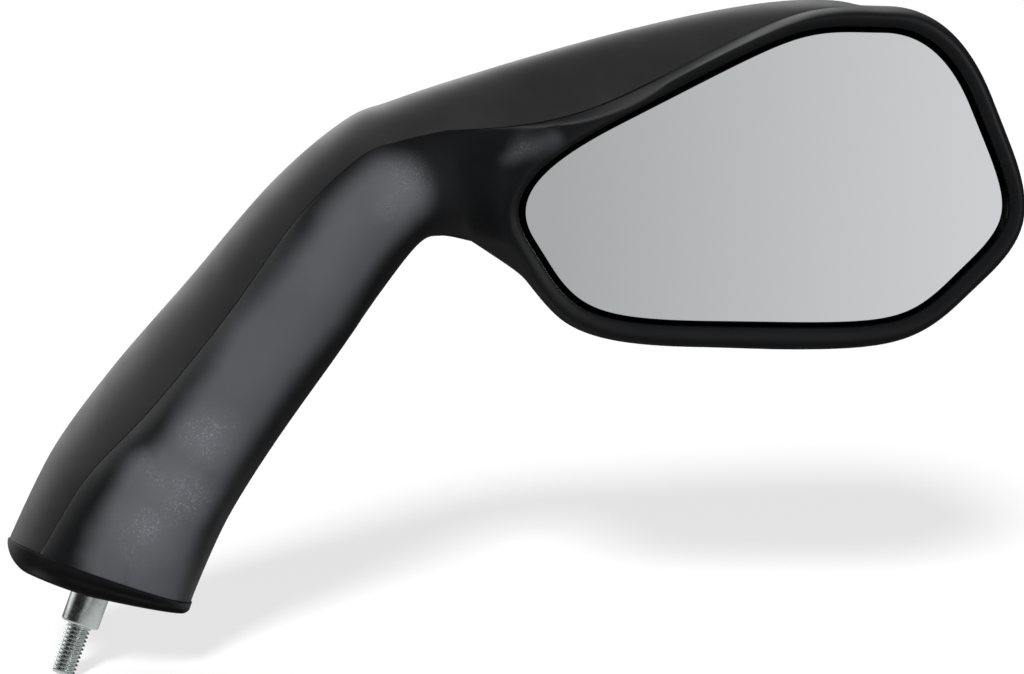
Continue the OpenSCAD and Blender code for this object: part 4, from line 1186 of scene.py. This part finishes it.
# Where reflections show the white background, behind the object for the camera
BACKDROP = ((0, 0.985, -0.174), 10, 16, 1.0)
SUN_FROM = Vector((-0.135, -0.78, 0.585))
SOFTBOX_AT, SOFTBOX_TO, SOFTBOX_SIZE = (0.66, -0.72, 0.3), (0.04, 0, 0.05), (0.3, 0.4)
CAMERA_AT, CAMERA_TILT = Vector((0.1001, -0.6841, 0.1820)), math.radians(80)


def glow(tree, where, centre, core, end, strength):
    """Brightness of the room about a direction."""
    share = vector_node(tree, "DOT_PRODUCT", where, Vector(centre).normalized(), "Value")
    near = fade(tree, share, math.cos(math.radians(core)), math.cos(math.radians(end)))
    return math_node(tree, "MULTIPLY", near, strength)


def blend_shaders(tree, share, first, second, out):
    node = tree.nodes.new("ShaderNodeMixShader")
    tree.links.new(share, node.inputs["Fac"])
    tree.links.new(first, node.inputs[1])
    tree.links.new(second, node.inputs[2])
    tree.links.new(node.outputs["Shader"], out.inputs["Surface"])


def seen_share(tree, in_gloss):
    """1 for rays from the camera or through glass, and a share of 1 for reflections."""
    path = tree.nodes.new("ShaderNodeLightPath")
    gloss = math_node(tree, "MULTIPLY", path.outputs["Is Glossy Ray"], in_gloss)
    return pick(tree, "MAXIMUM", [path.outputs["Is Camera Ray"], path.outputs["Is Transmission Ray"], gloss])


def build_floor(look):
    """A floor that is white to the camera, but dark in reflections away from the stud."""
    floor_z = float(from_stud([[0, 0, -THREAD_LEN]])[0][2]) - FLOOR_DROP
    corners = [(-FLOOR_SIDE, FLOOR_NEAR), (FLOOR_SIDE, FLOOR_NEAR), (FLOOR_SIDE, FLOOR_FAR),
               (-FLOOR_SIDE, FLOOR_FAR)]
    floor = make_mesh("floor", [(x / MM, y / MM, floor_z) for x, y in corners], [(0, 1, 2, 3)])
    material, tree, shader = new_material("Pale floor")
    shader.inputs["Roughness"].default_value = 1.0
    shader.inputs["Specular IOR Level"].default_value = 0.0
    by_stud = near_places(tree, position(tree), (((0, 0, floor_z), PALE_REACH),))
    seen = seen_share(tree, math_node(tree, "MULTIPLY", by_stud, PALE_SHARE))
    tree.links.new(blend_colour(tree, seen, DARK_FLOOR, look.floor_color), shader.inputs["Base Color"])
    shine = tree.nodes.new("ShaderNodeEmission")
    shine.inputs["Strength"].default_value = FLOOR_SHINE
    blend_shaders(tree, math_node(tree, "MULTIPLY", seen, FLOOR_SHARE), shader.outputs["BSDF"],
                  shine.outputs["Emission"], tree.nodes["Material Output"])
    set_material(floor, material)


def grey_band(tree, where):
    """The grey part of the room in front of the glass, brighter to the right."""
    parts = tree.nodes.new("ShaderNodeSeparateXYZ")
    tree.links.new(where, parts.inputs["Vector"])
    across = tree.nodes.new("ShaderNodeMapRange")
    across.inputs["From Min"].default_value, across.inputs["From Max"].default_value = BAND_X
    across.inputs["To Min"].default_value, across.inputs["To Max"].default_value = BAND_GREY
    tree.links.new(parts.outputs["X"], across.inputs["Value"])
    flat = tree.nodes.new("ShaderNodeMapping")
    flat.inputs["Scale"].default_value = (1, 1, BAND_FLAT)
    tree.links.new(where, flat.inputs["Vector"])
    away = vector_node(tree, "DISTANCE", flat.outputs["Vector"], BAND_AT, "Value")
    return math_node(tree, "MULTIPLY", fade(tree, away, BAND_CORE, BAND_EDGE), across.outputs["Result"])


def build_room(scene):
    """A background that is white to the camera, and a grey room with bright parts in reflections."""
    world = bpy.data.worlds.new("Soft room")
    scene.world = world
    world.use_nodes = True
    tree = world.node_tree
    tree.nodes.clear()
    out = tree.nodes.new("ShaderNodeOutputWorld")
    room, white = (tree.nodes.new("ShaderNodeBackground") for _ in range(2))
    for background in (room, white):
        background.inputs["Color"].default_value = (1, 1, 1, 1)
    where = tree.nodes.new("ShaderNodeTexCoord").outputs["Generated"]
    path = tree.nodes.new("ShaderNodeLightPath")
    shown = math_node(tree, "MULTIPLY", path.outputs["Is Glossy Ray"], 1 - GLOW_SPILL)
    shown = math_node(tree, "ADD", shown, GLOW_SPILL)
    tone = math_node(tree, "ADD", grey_band(tree, where), ROOM_DARK)
    for place in GLOWS:
        here = math_node(tree, "MULTIPLY", glow(tree, where, *place), shown)
        tone = math_node(tree, "ADD", tone, here)
    tree.links.new(tone, room.inputs["Strength"])
    seen = seen_share(tree, glow(tree, where, *BACKDROP))
    blend_shaders(tree, seen, room.outputs["Background"], white.outputs["Background"], out)


def place_light(data, where, toward, axis):
    """A lamp at a place, with the given axis turned toward a direction."""
    lamp = bpy.data.objects.new(data.name, data)
    lamp.location = where
    lamp.rotation_euler = toward.to_track_quat(axis, "Y").to_euler()
    bpy.context.scene.collection.objects.link(lamp)
    return lamp


def build_lights(look):
    """A distant high light for the shadow, and a soft light in front of the arm."""
    sun = bpy.data.lights.new("High light", "SUN")
    sun.energy = look.sun_strength
    sun.angle = look.sun_spread
    place_light(sun, (0, 0, 0), SUN_FROM, "Z").visible_glossy = False
    box = bpy.data.lights.new("Front softbox", "AREA")
    box.shape = "RECTANGLE"
    box.size, box.size_y = SOFTBOX_SIZE
    box.energy = look.front_power
    place_light(box, SOFTBOX_AT, Vector(SOFTBOX_TO) - Vector(SOFTBOX_AT), "-Z")


def build_camera(scene, look):
    data = bpy.data.cameras.new("Camera")
    data.lens = look.lens
    data.sensor_width = 36.0
    camera = bpy.data.objects.new("Camera", data)
    camera.location = CAMERA_AT + Vector(SEAT * MM)
    camera.rotation_euler = (CAMERA_TILT, 0, 0)
    scene.collection.objects.link(camera)
    scene.camera = camera


class MIRROR_OT_studio(bpy.types.Operator):
    """Build the floor, the room, the lights and the camera"""

    bl_idname = "mirror.studio"
    bl_label = "Studio"

    def execute(self, context):
        scene = context.scene
        look = scene.mirror_studio
        build_floor(look)
        build_room(scene)
        build_lights(look)
        build_camera(scene, look)
        scene.view_settings.view_transform = "Standard"
        return {"FINISHED"}


class MIRROR_PT_panel(bpy.types.Panel):
    """Lists the pieces and their settings"""

    bl_idname = "MIRROR_PT_panel"
    bl_label = "Fairing mirror"
    bl_space_type = "VIEW_3D"
    bl_region_type = "UI"
    bl_category = "Mirror"

    def draw(self, context):
        for operator in OPERATORS:
            self.layout.operator(operator.bl_idname)
        for name, group in SETTINGS.items():
            box = self.layout.box()
            for field in group.__annotations__:
                box.prop(getattr(context.scene, name), field)


SETTINGS = {
    "mirror_shells": ShellSettings,
    "mirror_hardware": HardwareSettings,
    "mirror_glass": GlassSettings,
    "mirror_studio": StudioSettings,
}
OPERATORS = (
    MIRROR_OT_front_shell, MIRROR_OT_rear_shell, MIRROR_OT_foot, MIRROR_OT_stud, MIRROR_OT_glass,
    MIRROR_OT_inner_parts, MIRROR_OT_studio)


def register():
    for cls in (*SETTINGS.values(), *OPERATORS, MIRROR_PT_panel):
        bpy.utils.register_class(cls)
    for name, group in SETTINGS.items():
        setattr(bpy.types.Scene, name, bpy.props.PointerProperty(type=group))


def unregister():
    for name in SETTINGS:
        delattr(bpy.types.Scene, name)
    for cls in reversed((*SETTINGS.values(), *OPERATORS, MIRROR_PT_panel)):
        bpy.utils.unregister_class(cls)


def main():
    register()
    for operator in OPERATORS:
        group, name = operator.bl_idname.split(".")
        getattr(getattr(bpy.ops, group), name)()


if __name__ == "__main__":
    main()
